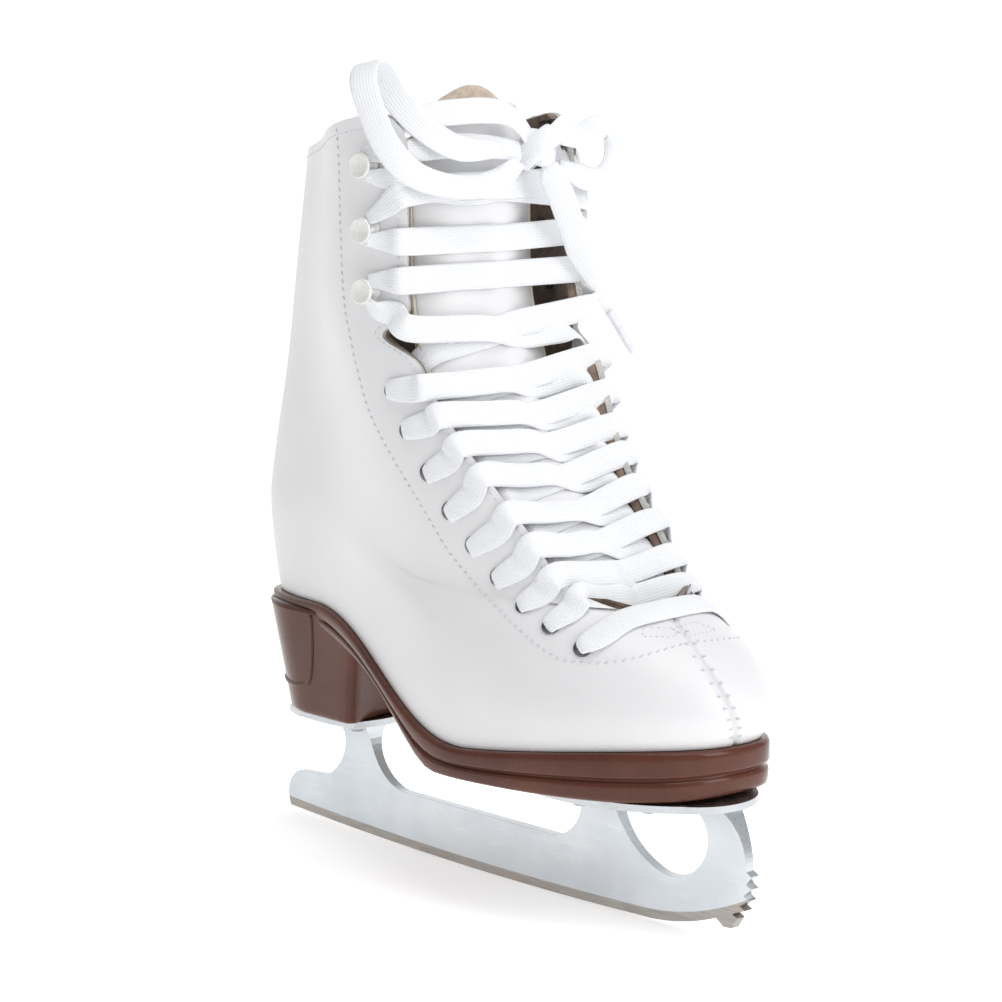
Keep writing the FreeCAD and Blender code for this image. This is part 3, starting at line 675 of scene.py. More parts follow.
def thread_edge_line(thread, side):
    """A plain row of stitches just behind the facing's edge and below the collar."""
    inset, top = 3.2, 9.85
    spots = []
    for row in np.linspace(4.3, top, 150):
        angle = inset_angle(row, side, inset + notch(row, side) + corner(row + 0.1))
        spots.append(spot(row, angle, side, 0.05))
    thread.run(spots, 1.7, 1.0, **FINE_THREAD)
    end = inset_angle(top, side, inset + corner(9.95))
    spots = [spot(top, angle, side, 0.05) for angle in np.linspace(end, math.pi - 0.05, 90)]
    thread.run(spots, 1.7, 1.0, **FINE_THREAD)


def thread_toe_seam(thread):
    """Pairs of bar stitches down the toe seam, and a boxed tack on each side of the throat."""
    for row in np.linspace(0.35, 3.45, 11):
        for side in (OUTER, INNER):
            a, normal = spot(row, inset_angle(row, side, 1.0), side, 0.1)
            b, _ = spot(row, inset_angle(row, side, 2.7), side, 0.1)
            thread.add(a, b, normal, radius=0.42, rise=0.3)
    for side in (OUTER, INNER):
        corners = THROAT_BOX if side == OUTER else [(r, a - 0.34) for r, a in THROAT_BOX[::-1]]
        for (r0, a0), (r1, a1) in zip(corners, corners[1:] + corners[:1]):
            spots = [
                spot(r0 + (r1 - r0) * t, a0 + (a1 - a0) * t, side, 0.05) for t in np.linspace(0, 1, 12)
            ]
            thread.run(spots, 1.3, 0.8, radius=0.24, rise=0.15)


def thread_back_seam(thread):
    """A row of stitches on each side of the back seam."""
    for side in (OUTER, INNER):
        spots = []
        for row in np.linspace(0.3, 9.6, 80):
            angles, length, _ = row_line(row, side)
            spots.append(spot(row, float(np.interp(6.0, length, angles)), side, 0.05))
        thread.run(spots, 1.9, 1.1, radius=0.26, rise=0.2)


# --- Tongue ---
# Middle line (station, height), half width and how far the edges curve back, as in the CAD part.
TONGUE = np.array([
    (190, 103, 18, 7), (181, 118, 22, 8), (166, 136, 25, 8), (150, 151, 27, 8),
    (137, 168, 28, 7), (127, 184, 30, 8), (120, 200, 31, 8), (115, 220, 31, 9),
    (114, 247, 31, 9), (112, 275, 29, 8), (111, 294, 17, 4),
], float)
TONGUE_LEAN = -2.0
tongue_values = cubic(TONGUE)
TONGUE_TOP = len(TONGUE) - 1


def tongue_frame(where):
    """The tongue's middle, half width, drop of its edges, and directions up it and out of it."""
    x, z, half_width, drop = tongue_values(where)
    low, high = max(where - 0.05, 0), min(where + 0.05, TONGUE_TOP)
    ahead = tongue_values(high)[:2] - tongue_values(low)[:2]
    along = unit(np.array([ahead[0], 0.0, ahead[1]]))
    out = np.array([along[2], 0.0, -along[0]])
    return np.array([x, TONGUE_LEAN, z]), half_width, drop, along, out


def tongue_point(where, share, lift=0.0):
    """A point on the tongue's face; share runs from -1 to 1 across it."""
    centre, half_width, drop, along, out = tongue_frame(where)
    point = centre + np.array([0, share * half_width, 0]) - out * drop * share * share
    across = np.array([0, half_width, 0]) - out * 2 * drop * share
    normal = unit(np.cross(along, across))
    normal = normal if normal @ out > 0 else -normal
    return point + normal * lift, normal


def tongue_row_near(point):
    """Where along the tongue a point stands."""
    places = np.linspace(0, TONGUE_TOP, 201)
    centres = np.array([tongue_values(p)[:2] for p in places])
    gaps = np.hypot(centres[:, 0] - point[0], centres[:, 1] - point[2])
    return float(places[np.argmin(gaps)])


def make_tongue():
    places = np.linspace(0.25, TONGUE_TOP - 0.45, 70)
    shares = np.linspace(-0.92, 0.92, 41)
    spots = np.array([[tongue_point(p, s) for s in shares] for p in places])
    grid, normals = spots[:, :, 0], spots[:, :, 1]
    face = sheet_piece("tongue_front", grid, normals, [LEATHER, CREAM])
    solidified(face, TONGUE_THICKNESS, bevel=0.5)
    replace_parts(face, "tongue_face")
    make_tongue_pad()
    make_tongue_binding()


def make_tongue_pad():
    """Padding in its tan lining: a closed crowned form, proud of the face at the top."""
    low, top = 9.0, TONGUE_TOP - 0.02
    crown = low + (top - low) * np.sin(np.linspace(0.06, 1, 22) * math.pi / 2)
    places = np.concatenate([np.linspace(0.2, low, 60), crown])
    points = []
    section = 40
    for p in places:
        rise = max(0.0, (p - low) / (top - low))
        close = math.sqrt(1 - 0.98 * rise ** 2)
        thick = 1.2 + 2.9 * close
        for k in range(section):
            turn = 2 * math.pi * k / section
            share = math.copysign(abs(math.cos(turn)) ** 0.55, math.cos(turn)) * 0.985 * close
            depth = 4.5 - math.copysign(abs(math.sin(turn)) ** 0.7, math.sin(turn)) * thick
            points.append(tongue_point(p, share, -depth)[0])
    faces = closed_tube_faces(len(places), section)
    pad = make_piece("tongue_pad", points, faces, [TAN])
    tidy_normals(pad)
    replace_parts(pad, "tongue_padding", "tongue_lining")


def tube(points, radius, section=8):
    """Points and faces of a plain round tube along a line."""
    points = np.asarray(points, float)
    tangents = unit(np.gradient(points, axis=0))
    guide = np.array([0.31, 0.87, 0.38])
    verts = []
    for point, tangent in zip(points, tangents):
        side = unit(np.cross(tangent, guide))
        guide = np.cross(side, tangent)
        for k in range(section):
            turn = 2 * math.pi * k / section
            verts.append(point + (side * math.cos(turn) + guide * math.sin(turn)) * radius)
    return verts, closed_tube_faces(len(points), section)


def make_tongue_binding():
    """Cream piping round the tongue's face."""
    line = []
    places = np.linspace(0.4, TONGUE_TOP - 0.55, 60)
    line += [tongue_point(p, -0.95, -0.6)[0] for p in places]
    top = TONGUE_TOP - 0.45
    line += [tongue_point(top, s, -0.6)[0] for s in np.linspace(-0.9, 0.9, 30)]
    line += [tongue_point(p, 0.95, -0.6)[0] for p in places[::-1]]
    points, faces = tube(line, 1.1)
    tidy_normals(make_piece("tongue_binding", points, faces, [CREAM]))


# --- Sole and heel ---
UNDERSIDE = np.array([
    (-12, 90), (40, 88), (58, 84), (78, 79), (92, 74), (103, 68), (114, 60.5), (123, 54), (131, 50),
    (210, 50), (226, 50.6), (240, 53.5), (252, 57),
], float)
# Side profile of the sole's edge: share of the way down, and how far it stands out.
SOLE_EDGE = [
    (0.00, -1.5), (0.00, 1.6), (0.03, 2.6), (0.10, 3.0), (0.44, 3.1), (0.49, 2.7), (0.52, 1.7),
    (0.55, 1.4), (0.58, 1.8), (0.61, 2.5), (0.68, 2.8), (0.90, 2.5), (0.96, 2.0), (1.00, 0.6),
    (1.00, -3.0),
]


def plan_loop(half=110):
    """The feather line in plan, with its outward normals."""
    outer = form(0.0, np.linspace(math.pi, 0, half, endpoint=False), OUTER)[:, :2]
    inner = form(0.0, np.linspace(0, math.pi, half, endpoint=False), INNER)[:, :2]
    loop = np.concatenate([outer, inner])
    for _ in range(2):
        loop = (np.roll(loop, 1, 0) + 2 * loop + np.roll(loop, -1, 0)) / 4
    along = np.roll(loop, -1, 0) - np.roll(loop, 1, 0)
    normal = unit(np.stack([along[:, 1], -along[:, 0]], -1))
    if np.sum(normal * (loop - loop.mean(0))) < 0:
        normal = -normal
    return loop, normal


def underside(x):
    return np.interp(x, UNDERSIDE[:, 0], UNDERSIDE[:, 1])


def soft_underside(x):
    """The underside with its corners rounded by averaging along the foot."""
    return np.mean([underside(np.asarray(x) + d) for d in np.linspace(-5, 5, 9)], axis=0)


def make_sole():
    loop, normal = plan_loop()
    points = []
    count = len(loop)
    for share, out in SOLE_EDGE:
        edge = loop + normal * out
        top = seat_height(np.clip(edge[:, 0], 0, LAST_LENGTH)) - 0.2
        bottom = soft_underside(edge[:, 0])
        height = top + (bottom - top) * share
        points.append(np.stack([edge[:, 0], edge[:, 1], height], -1))
    centre = np.stack([loop[:, 0], np.full(count, 4.0)], -1)
    for ring in (0.75, 0.5, 0.25):
        plan = centre + (loop + normal * -3.0 - centre) * ring
        points.append(np.stack([plan[:, 0], plan[:, 1], soft_underside(plan[:, 0])], -1))
    rings = len(points)
    faces = grid_faces(rings, count, wrap=True)
    sole = make_piece("sole_unit", np.concatenate(points), faces, [SOLE])
    close_flat_ring(sole, rings, count)
    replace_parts(sole, "outsole_and_heel")
    make_heel()


def close_flat_ring(piece, rings, count):
    """Fills the first and last rings, whose two sides face each other across the foot."""
    work = bmesh.new()
    work.from_mesh(piece.data)
    work.verts.ensure_lookup_table()
    half = count // 2
    for ring in (0, rings - 1):
        base = ring * count
        for k in range(half):
            a, b = base + k, base + (k + 1) % count
            c, d = base + (count - 1 - k) % count, base + (count - k) % count
            corners = list(dict.fromkeys([a, b, c, d]))
            if len(corners) > 2:
                try:
                    work.faces.new([work.verts[i] for i in corners])
                except ValueError:
                    continue
    bmesh.ops.recalc_face_normals(work, faces=work.faces)
    for face in work.faces:
        face.smooth = True
    work.to_mesh(piece.data)
    work.free()


def heel_section(share, samples=15):
    """The heel's outline at a share of its height: round back, flat sides, concave breast."""
    back = -2.2 + 9.8 * share
    front = 67.0 - 10.0 * share ** 0.8
    half = 26.0 - 5.0 * share
    hollow, corner = 3.0, 3.2
    side_start = back + half * 1.1
    side_length = front - corner - back - half * 1.1
    line = []
    for turn in np.linspace(0, math.pi, 2 * samples):
        x = back + half * 1.1 * (1 - math.sin(turn))
        line.append((x, -half * math.cos(turn)))
    for t in np.linspace(0, 1, 6)[1:]:
        line.append((side_start + side_length * t, half))
    for turn in np.linspace(0, math.pi / 2, 5)[1:]:
        line.append((front - corner + corner * math.sin(turn), half - corner + corner * math.cos(turn)))
    for t in np.linspace(0, 1, samples)[1:-1]:
        y = (half - corner) * (1 - 2 * t)
        line.append((front - hollow * math.sin(math.pi * t), y))
    for turn in np.linspace(math.pi / 2, 0, 5)[:-1]:
        line.append((front - corner + corner * math.sin(turn), -half + corner - corner * math.cos(turn)))
    for t in np.linspace(1, 0, 6)[:-1]:
        line.append((side_start + side_length * t, -half))
    return np.array(line)


HEEL_BOTTOM = 50.0


def heel_height(x, share):
    """Height at a share of the way from just below the heel seat down to the heel's bottom."""
    top = seat_height(np.clip(x, 0, 80)) - 3.0
    return top + (HEEL_BOTTOM - top) * share


def make_heel():
    shares = np.concatenate([np.linspace(0, 0.96, 26), [0.985, 1.0]])
    points = []
    for share in shares:
        line = heel_section(share)
        inset = 1.0 if share == 1.0 else (0.3 if share > 0.97 else 0.0)
        centre = line.mean(0)
        line = line - unit(line - centre) * inset
        points.append(np.stack([line[:, 0], line[:, 1], heel_height(line[:, 0], share)], -1))
    faces = closed_tube_faces(len(points), len(points[0]))
    tidy_normals(make_piece("heel_block", np.concatenate(points), faces, [SOLE]))
    make_heel_moulding()


def make_heel_moulding():
    """A raised plain U-shaped rib moulded into each side of the heel."""
    route = [(40, 0.04), (39, 0.3), (36, 0.62), (31, 0.72), (22, 0.74), (13, 0.72)]
    curve = cubic(route)
    for side in (OUTER, INNER):
        line = []
        for t in np.linspace(0, len(route) - 1, 60):
            x, share = curve(t)
            section = heel_section(share)
            on_side = section[section[:, 1] * side > 0]
            order = np.argsort(on_side[:, 0])
            y = np.interp(x, on_side[order, 0], np.abs(on_side[order, 1]))
            line.append((x, side * (y - 0.1), heel_height(x, share)))
        points, faces = tube(line, 0.9)
        tidy_normals(make_piece("heel_rib_" + SIDE_NAMES[side], points, faces, [SOLE]))


# --- Blade ---
BLADE_TOP = 47.5
TEETH = [(241.0, 10.5), (244.5, 14.0), (246.3, 18.0), (247.3, 22.2), (247.3, 26.5)]
TOOTH_DEPTH = 2.4


def blade_steps():
    """The blade's outline: each step is (end,) for a line or (middle, end) for an arc."""
    steps = [
        ((120, 0.0), (196, 1.4)), ((216, 3.9), (231, 8.6)), ((232.6, 7.6), (234.6, 6.2)),
        ((238.2, 6.4),),
    ]
    for x, z in TEETH:
        steps += [((x, z),), ((x - TOOTH_DEPTH, z + 1.2),)]
    return steps + [
        ((243.5, 36.0), (236.5, BLADE_TOP)), ((222.0, BLADE_TOP),),
        ((226.8, 33.5), (217.0, 21.0)), ((209.0, 19.0), (200.5, 21.0)),
        ((187.0, 31.0), (180.5, BLADE_TOP)), ((163.5, BLADE_TOP),),
        ((162.0, 29.0), (151.0, 22.0)), ((66.0, 22.0),), ((53.0, 29.0), (48.5, BLADE_TOP)),
        ((31.0, BLADE_TOP),), ((29.0, 28.0), (19.0, 20.0)), ((1.5, 18.6),),
        ((-4.2, 12.0), (-3.2, 3.6)),
    ]


def arc_points(start, middle, end, count):
    """Points of the circle through three points, without its start."""
    (ax, ay), (bx, by), (cx, cy) = start, middle, end
    d = 2 * (ax * (by - cy) + bx * (cy - ay) + cx * (ay - by))
    ux = ((ax**2 + ay**2) * (by - cy) + (bx**2 + by**2) * (cy - ay) + (cx**2 + cy**2) * (ay - by)) / d
    uy = ((ax**2 + ay**2) * (cx - bx) + (bx**2 + by**2) * (ax - cx) + (cx**2 + cy**2) * (bx - ax)) / d
    angles = [math.atan2(y - uy, x - ux) for x, y in (start, middle, end)]
    radius = math.hypot(ax - ux, ay - uy)
    turn = (angles[2] - angles[0]) % (2 * math.pi)
    if (angles[1] - angles[0]) % (2 * math.pi) > turn:
        turn -= 2 * math.pi
    steps = [angles[0] + turn * k / count for k in range(1, count + 1)]
    return [(ux + radius * math.cos(a), uy + radius * math.sin(a)) for a in steps]


def blade_outline():
    """The outline's points, with 14 to each arc."""
    steps = blade_steps()
    here = steps[-1][-1]
    line = []
    for step in steps:
        if len(step) == 1:
            line.append(step[0])
        else:
            line += arc_points(here, step[0], step[1], 14)
        here = step[-1]
    return line


def make_blade():
    """The blade's outline with its posts flared where they meet the plates."""
    work = bmesh.new()
    outline = [to_frame((x, 0.0, z)) for x, z in blade_outline()]
    face = work.faces.new([work.verts.new(tuple(p - np.array([0, 0.002, 0]))) for p in outline])
    made = bmesh.ops.extrude_face_region(work, geom=[face])
    moved = [v for v in made["geom"] if isinstance(v, bmesh.types.BMVert)]
    bmesh.ops.translate(work, verts=moved, vec=(0, 0.004, 0))
    for level in np.arange(26.0, BLADE_TOP, 1.5):
        everything = list(work.verts) + list(work.edges) + list(work.faces)
        bmesh.ops.bisect_plane(
            work, geom=everything, plane_co=(0, 0, level * MM), plane_no=(0, 0, 1), dist=1e-7
        )
    for vert in work.verts:
        rise = max(0.0, (vert.co.z / MM - 27.0) / (BLADE_TOP - 27.0))
        flare = 5.2 * rise ** 3.2
        if vert.co.x > 0.09:
            flare *= 0.55
        vert.co.y += math.copysign(flare * MM, vert.co.y)
    bmesh.ops.recalc_face_normals(work, faces=work.faces)
    mesh = bpy.data.meshes.new("blade")
    work.to_mesh(mesh)
    work.free()
    mesh.materials.append(BLADE)
    mesh.polygons.foreach_set("use_smooth", [False] * len(mesh.polygons))
    blade = bpy.data.objects.new("blade", mesh)
    scene.collection.objects.link(blade)
    soften(blade, 0.45, segments=3, angle=35.0)
    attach(blade, "root")
    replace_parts(blade, "blade_runner")


# --- Eyelets and hooks ---
EYELET_PLACES = [
    (2.66, 0.80), (3.16, 0.89), (3.70, 0.96), (4.25, 1.03), (4.80, 1.11),
    (5.28, 1.17), (5.76, 1.21), (6.26, 1.24), (6.72, 1.24),
]
INNER_TURN = -0.12
HOOK_ROWS = [8.03, 8.73, 9.44]
HOOK_INSET = 14.5


def lace_rows():
    """Row and angle of both sides' eyelets and then hooks, bottom to top."""
    rows = {}
    for side in SIDE_NAMES:
        turn = INNER_TURN if side == INNER else 0.0
        rows[side] = [(row, angle + turn) for row, angle in EYELET_PLACES]
        rows[side] += [(row, inset_angle(row, side, HOOK_INSET)) for row in HOOK_ROWS]
    return rows


LACE_ROWS = lace_rows()
PLACES = {s: [spot(row, angle, s) for row, angle in LACE_ROWS[s]] for s in SIDE_NAMES}
EYELETS = len(EYELET_PLACES)


def turned(profile, point, normal, section=28):
    """Points and faces of a lathe-turned form standing on a point along a normal."""
    across = unit(np.cross(normal, [0.2, 0.1, 0.97]))
    other = np.cross(normal, across)
    points = []
    for radius, height in profile:
        for k in range(section):
            turn = 2 * math.pi * k / section
            arm = across * math.cos(turn) + other * math.sin(turn)
            points.append(point + normal * height + arm * radius)
    return points, grid_faces(len(profile), section, wrap=True)


HOOK_PROFILE = [
    (0.01, 0.1), (3.7, 0.1), (3.9, 0.4), (3.6, 0.9), (2.5, 1.3), (1.9, 2.0), (1.75, 3.5), (1.9, 5.0),
    (2.5, 5.8), (3.8, 6.3), (4.5, 6.6), (4.75, 7.1), (4.6, 7.6), (4.1, 7.8), (3.6, 7.5), (2.0, 7.1),
    (0.01, 7.0),
]


def make_hooks():
    """Three enamelled hooks to a side, as one turned piece each side."""
    for side, label in SIDE_NAMES.items():
        points, faces = [], []
        for point, normal in PLACES[side][EYELETS:]:
            more, more_faces = turned(HOOK_PROFILE, point, normal)
            faces += [[i + len(points) for i in face] for face in more_faces]
            points += more
        hooks = make_piece("hook_set_" + label, points, faces, [ENAMEL])
        tidy_normals(hooks)
        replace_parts(hooks, "hooks_" + label)


# --- Laces ---
LACE_WIDTH, LACE_THICKNESS = 10.0, 1.3
# Share of its width that the lace keeps where it is gathered round a hook's stem, how high up the
# stem and how far from its middle it runs past, and the radius of its turn round the back.
GATHERED, STEM_HEIGHT, STEM_REACH, WRAP_RADIUS = 0.42, 3.4, 3.6, 3.4
SECTION = 18


def ribbon(points, faces_to, widths, cup=0.0):
    """Points, faces and UVs of a flat lace along a line; each place faces its own way."""
    points = np.asarray(points, float)
    tangents = unit(np.gradient(points, axis=0))
    length = lengths_along(points)
    verts, marks = [], []
    for k, (point, tangent) in enumerate(zip(points, tangents)):
        across = unit(np.cross(tangent, faces_to[k]))
        out = np.cross(across, tangent)
        for j in range(SECTION):
            turn = 2 * math.pi * j / SECTION
            c, s = math.cos(turn), math.sin(turn)
            wide = math.copysign(abs(c) ** 0.62, c) * widths[k] / 2
            thick = math.copysign(abs(s) ** 0.8, s) * LACE_THICKNESS / 2
            bow = cup * (wide / (LACE_WIDTH / 2)) ** 2
            verts.append(point + across * wide + out * (thick - bow))
            marks.append((length[k], wide if s >= 0 else wide + 0.3))
    return verts, closed_tube_faces(len(points), SECTION), marks


class Laces:
    """Ribbons collected into one piece with lengthwise UVs."""

    def __init__(self):
        self.points, self.faces, self.marks = [], [], []

    def add(self, made):
        verts, faces, marks = made
        first = len(self.points)
        self.points += verts
        self.faces += [[i + first for i in face] for face in faces]
        self.marks += marks

    def piece(self, name):
        made = make_piece(name, self.points, self.faces, [LACE])
        layer = made.data.uv_layers.new(name="lace")
        for loop in made.data.loops:
            layer.data[loop.index].uv = self.marks[loop.vertex_index]
        tidy_normals(made)
        return made


def eased(points, normals, widths, count=60):
    """A smooth line through a few given points, with normals and widths to match."""
    where = np.linspace(0, len(points) - 1, count)
    line, turn, wide = (cubic(values)(where) for values in (points, normals, widths))
    return line, unit(turn), wide


def edge_place(side, start, end):
    """The row and angle on a facing's edge nearest a straight line."""
    direction = unit(end - start)

    def miss(row):
        point = form(row, [front_angle(row, side)], side)[0]
        return np.linalg.norm(np.cross(point - start, direction))

    row = min(np.linspace(THROAT_ROW + 0.1, TOP_ROW, 160), key=miss)
    return row, front_angle(row, side)


# Rows where the band of each level passes over the edge of its facing, up to the first hooks.
EDGE_ROWS = {
    OUTER: [3.85, 4.15, 4.52, 5.05, 5.50, 5.95, 6.27, 6.57, 6.87, 7.60],
    INNER: [3.85, 4.10, 4.66, 5.24, 5.70, 6.08, 6.40, 6.78, 7.20, 7.78],
}


def over_edge(side, level):
    """Where a band passes over a facing's edge on its way to an eyelet or hook."""
    row = EDGE_ROWS[side][level]
    return row, front_angle(row, side)


def under_edge(side, level):
    """Where a band from an eyelet's underside passes beneath the facing's edge."""
    row = 0.5 * (EDGE_ROWS[side][level] + EDGE_ROWS[side][level + 1])
    return row, front_angle(row, side)


def over_leather(side, place, level):
    """Places on top of the leather, from the facing's edge to an eyelet or hook."""
    lift = 1.35
    row, angle = place
    last_row, last_angle = LACE_ROWS[side][level]
    return [
        spot(row + (last_row - row) * t, angle + (last_angle - angle) * t, side, lift * rise)
        for t, rise in ((0.02, 1.25), (0.36, 1.0), (0.68, 1.0))
    ]


def hook_hold(side, level, upper):
    """Where the lace runs past a hook's stem: just above or below it, under the head."""
    point, normal = PLACES[side][level]
    row = HOOK_ROWS[level - EYELETS]
    up = unit(spot(row + 0.2, inset_angle(row, side, HOOK_INSET), side)[0] - point)
    return point + normal * STEM_HEIGHT + up * (STEM_REACH if upper else -STEM_REACH), normal, up


def into_eyelet(point, normal, toward, tilt):
    """The lace's last places: over an eyelet, then down through it."""
    return [
        (point + normal * 1.1 - toward * 0.9, unit(normal - toward * tilt)),
        (point - normal * 3.0 - toward * 1.8, unit(normal * 0.2 - toward)),
    ]


def crossing(start_side, level, lift):
    """From under one facing at a level to over the other facing at the next level up."""
    start, start_normal = PLACES[start_side][level - 1]
    end, end_normal = PLACES[-start_side][level]
    under = under_edge(start_side, level - 1)
    over = over_edge(-start_side, level)
    leave, leave_normal = spot(*under, start_side)
    enter, enter_normal = spot(*over, -start_side)
    rows = [tongue_row_near(leave * (1 - t) + enter * t) for t in (0.25, 0.5, 0.75)]
    places = [
        (start - start_normal * 6.4 + unit(leave - start) * 2.0, start_normal),
        (leave - leave_normal * 6.6, leave_normal),
        tongue_point(rows[0], start_side * 0.55, 1.0 + lift * 0.3),
        tongue_point(rows[1], 0.0, 1.2 + lift),
        tongue_point(rows[2], -start_side * 0.5, 2.6 + lift * 0.8),
        *over_leather(-start_side, over, level),
    ]
    toward = unit(places[-1][0] - end)
    widths = [LACE_WIDTH] * len(places)
    if level >= EYELETS:
        hold, normal, up = hook_hold(-start_side, level, upper=False)
        places[-1] = (hold + toward * 5.5 - normal * 1.4, normal)
        places.append((hold, unit(end_normal - up * 0.8)))
        widths[-1] = LACE_WIDTH * 0.7
        widths.append(LACE_WIDTH * GATHERED)
    else:
        places += into_eyelet(end, end_normal, toward, 0.3)
        widths += [LACE_WIDTH * 0.66, LACE_WIDTH * 0.36]
        widths[-3] = LACE_WIDTH * 0.92
    return ribbon(*eased(*zip(*places), widths, 80), cup=0.35)


def hook_wrap(side, level):
    """The lace gathered round the back of a hook's stem, from its lower to its upper side."""
    point, normal = PLACES[side][level]
    _, _, up = hook_hold(side, level, True)
    toward = np.cross(up, normal)
    toward = toward if toward @ np.array([0, -side, 0]) > 0 else -toward
    points, normals = [], []
    for turn in np.linspace(-100, 100, 9):
        a = math.radians(turn)
        arm = up * math.sin(a) - toward * math.cos(a)
        points.append(point + normal * STEM_HEIGHT + arm * WRAP_RADIUS)
        normals.append(arm)
    return ribbon(*eased(points, normals, [LACE_WIDTH * GATHERED] * 9, 30))


def hook_band(outer_hold, inner_hold, rows=None, lift=0.6):
    """A band across the tongue between two hooks, over both facings' edges.

    A hold is a hook's level and whether the lace leaves above its stem; rows are those where the
    band passes the outer and the inner edge, or None for a straight band.
    """
    holds = {OUTER: hook_hold(OUTER, *outer_hold), INNER: hook_hold(INNER, *inner_hold)}
    a, b = holds[OUTER][0], holds[INNER][0]
    places = [edge_place(side, a, b) for side in (OUTER, INNER)]
    if rows:
        places = [(row, front_angle(row, side)) for row, side in zip(rows, (OUTER, INNER))]
    over_a, normal_a = spot(*places[0], OUTER, 1.3)
    over_b, normal_b = spot(*places[1], INNER, 1.3)
    middle = tongue_row_near((over_a + over_b) / 2)
    on_tongue = [tongue_point(middle, share, 1.2 + lift) for share in (-0.5, 0.0, 0.5)]
    points = [
        a, over_a + (a - over_a) * 0.45, over_a, *[p for p, _ in on_tongue],
        over_b, over_b + (b - over_b) * 0.45, b,
    ]
    normals = [
        holds[OUTER][1], normal_a, normal_a, *[n for _, n in on_tongue],
        normal_b, normal_b, holds[INNER][1],
    ]
    shares = (GATHERED, 0.82, 1, 1, 1, 1, 1, 0.82, GATHERED)
    return ribbon(*eased(points, normals, [LACE_WIDTH * w for w in shares]), cup=0.3)


def make_lacing():
    """Crossed through the eyelets, straight between the first two hooks, crossed to the last."""
    strand_a, strand_b = Laces(), Laces()
    for level in range(1, EYELETS + 1):
        for side in (OUTER, INNER):
            strand = strand_a if (side == OUTER) == bool(level % 2) else strand_b
            strand.add(crossing(side, level, 1.7 if side == INNER else 0.0))
    for side in (OUTER, INNER):
        for level in range(EYELETS, EYELETS + 3):
            (strand_a if side == OUTER else strand_b).add(hook_wrap(side, level))
    first, second, third = EYELETS, EYELETS + 1, EYELETS + 2
    strand_a.add(hook_band((first, True), (first, True)))
    strand_b.add(hook_band((second, False), (second, False)))
    strand_a.add(hook_band((second, True), (third, False), (9.12, 9.22), 2.6))
    strand_b.add(hook_band((third, False), (second, True), (9.24, 9.02), 0.8))
    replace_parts(strand_a.piece("lacing_a"), "lace_strand_a")
    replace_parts(strand_b.piece("lacing_b"), "lace_strand_b")
    make_bottom_bar()


def make_bottom_bar():
    """The lowest run, straight over the front from eyelet to eyelet."""
    (a, normal_a), (b, normal_b) = PLACES[OUTER][0], PLACES[INNER][0]
    rows = [
        (2.95, 0.68, OUTER), (3.46, 0.44, OUTER), (3.70, 0.14, OUTER), (3.70, 0.16, INNER),
        (3.36, 0.42, INNER),
    ]
    places = [
        *into_eyelet(a, normal_a, unit(b - a), 0.25)[::-1],
        *[spot(row, angle, side, 1.3) for row, angle, side in rows],
        *into_eyelet(b, normal_b, unit(a - b), 0.25),
    ]
    shares = (0.36, 0.62, 1, 1, 1, 1, 1, 0.62, 0.36)
    bar = Laces()
    bar.add(ribbon(*eased(*zip(*places), [LACE_WIDTH * share for share in shares], 80), cup=0.3))
    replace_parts(bar.piece("lacing_bar"), "lace_bottom_bar")


# --- Bow: loops, free ends, knot and the bands under it ---
LOOP_OUTER = [
    (124, 5, 266), (127, -7, 259), (122, -23, 257), (114, -39, 262), (109, -47, 274), (107, -51, 286),
    (105, -53, 295), (103, -49, 302), (102, -42, 300), (106, -39, 289), (113, -30, 277), (120, -17, 269),
    (124, -3, 271),
]
LOOP_INNER = [
    (124, 25, 274), (121, 40, 274), (113, 57, 280), (108, 72, 276), (110, 70, 263), (118, 51, 256),
    (123, 27, 264),
]
END_FRONT = [(127, 17, 265), (128, 23, 253), (126, 31, 240), (122, 42, 224), (123, 53, 209)]
END_BACK = [
    (118, 22, 268), (112, 38, 268), (108, 52, 264), (104, 59, 252), (102, 61, 238), (101, 61, 226),
]
AWAY = (0.72, -0.66, 0.20)
KNOT_CENTRE = np.array([123.5, 15.0, 271.0])


def nurbs_points(name, route):
    """The smooth line of a cord's route, in metres, as Blender's own NURBS spline gives it."""
    curve = bpy.data.curves.new(name + "_route", "CURVE")
    curve.dimensions = "3D"
    curve.resolution_u = 12
    spline = curve.splines.new("NURBS")
    spline.points.add(len(route) - 1)
    for point, place in zip(spline.points, to_frame(route)):
        point.co = (*place, 1.0)
    spline.order_u = 3
    spline.use_endpoint_u = True
    holder = bpy.data.objects.new(name + "_route", curve)
    scene.collection.objects.link(holder)
    bpy.context.view_layer.update()
    mesh = bpy.data.meshes.new_from_object(holder)
    line = np.array([tuple(v.co) for v in mesh.vertices])
    bpy.data.objects.remove(holder)
    bpy.data.curves.remove(curve)
    bpy.data.meshes.remove(mesh)
    return line


def ribbon_cord(name, node, route, facings, taper=0.0):
    """A free stretch of flat lace: a ribbon that follows its NURBS route."""
    path = nurbs_points(name, route)
    line = path / MM + np.array([ORIGIN_STATION, 0, 0])
    share = np.linspace(0, 1, len(line))
    marks = np.linspace(0, 1, len(facings))
    facing = np.stack([np.interp(share, marks, np.array(facings)[:, k]) for k in range(3)], -1)
    widths = LACE_WIDTH * np.clip(0.55 + share * 8, 0, 1)
    if taper:
        widths *= 1 - (1 - taper) * smooth((share - 0.62) / 0.38)
    else:
        widths *= np.clip(0.55 + (1 - share) * 8, 0, 1)
    lace = Laces()
    lace.add(ribbon(line, unit(facing), widths, cup=0.3))
    piece = lace.piece(name)
    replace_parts(piece, node)
    return piece


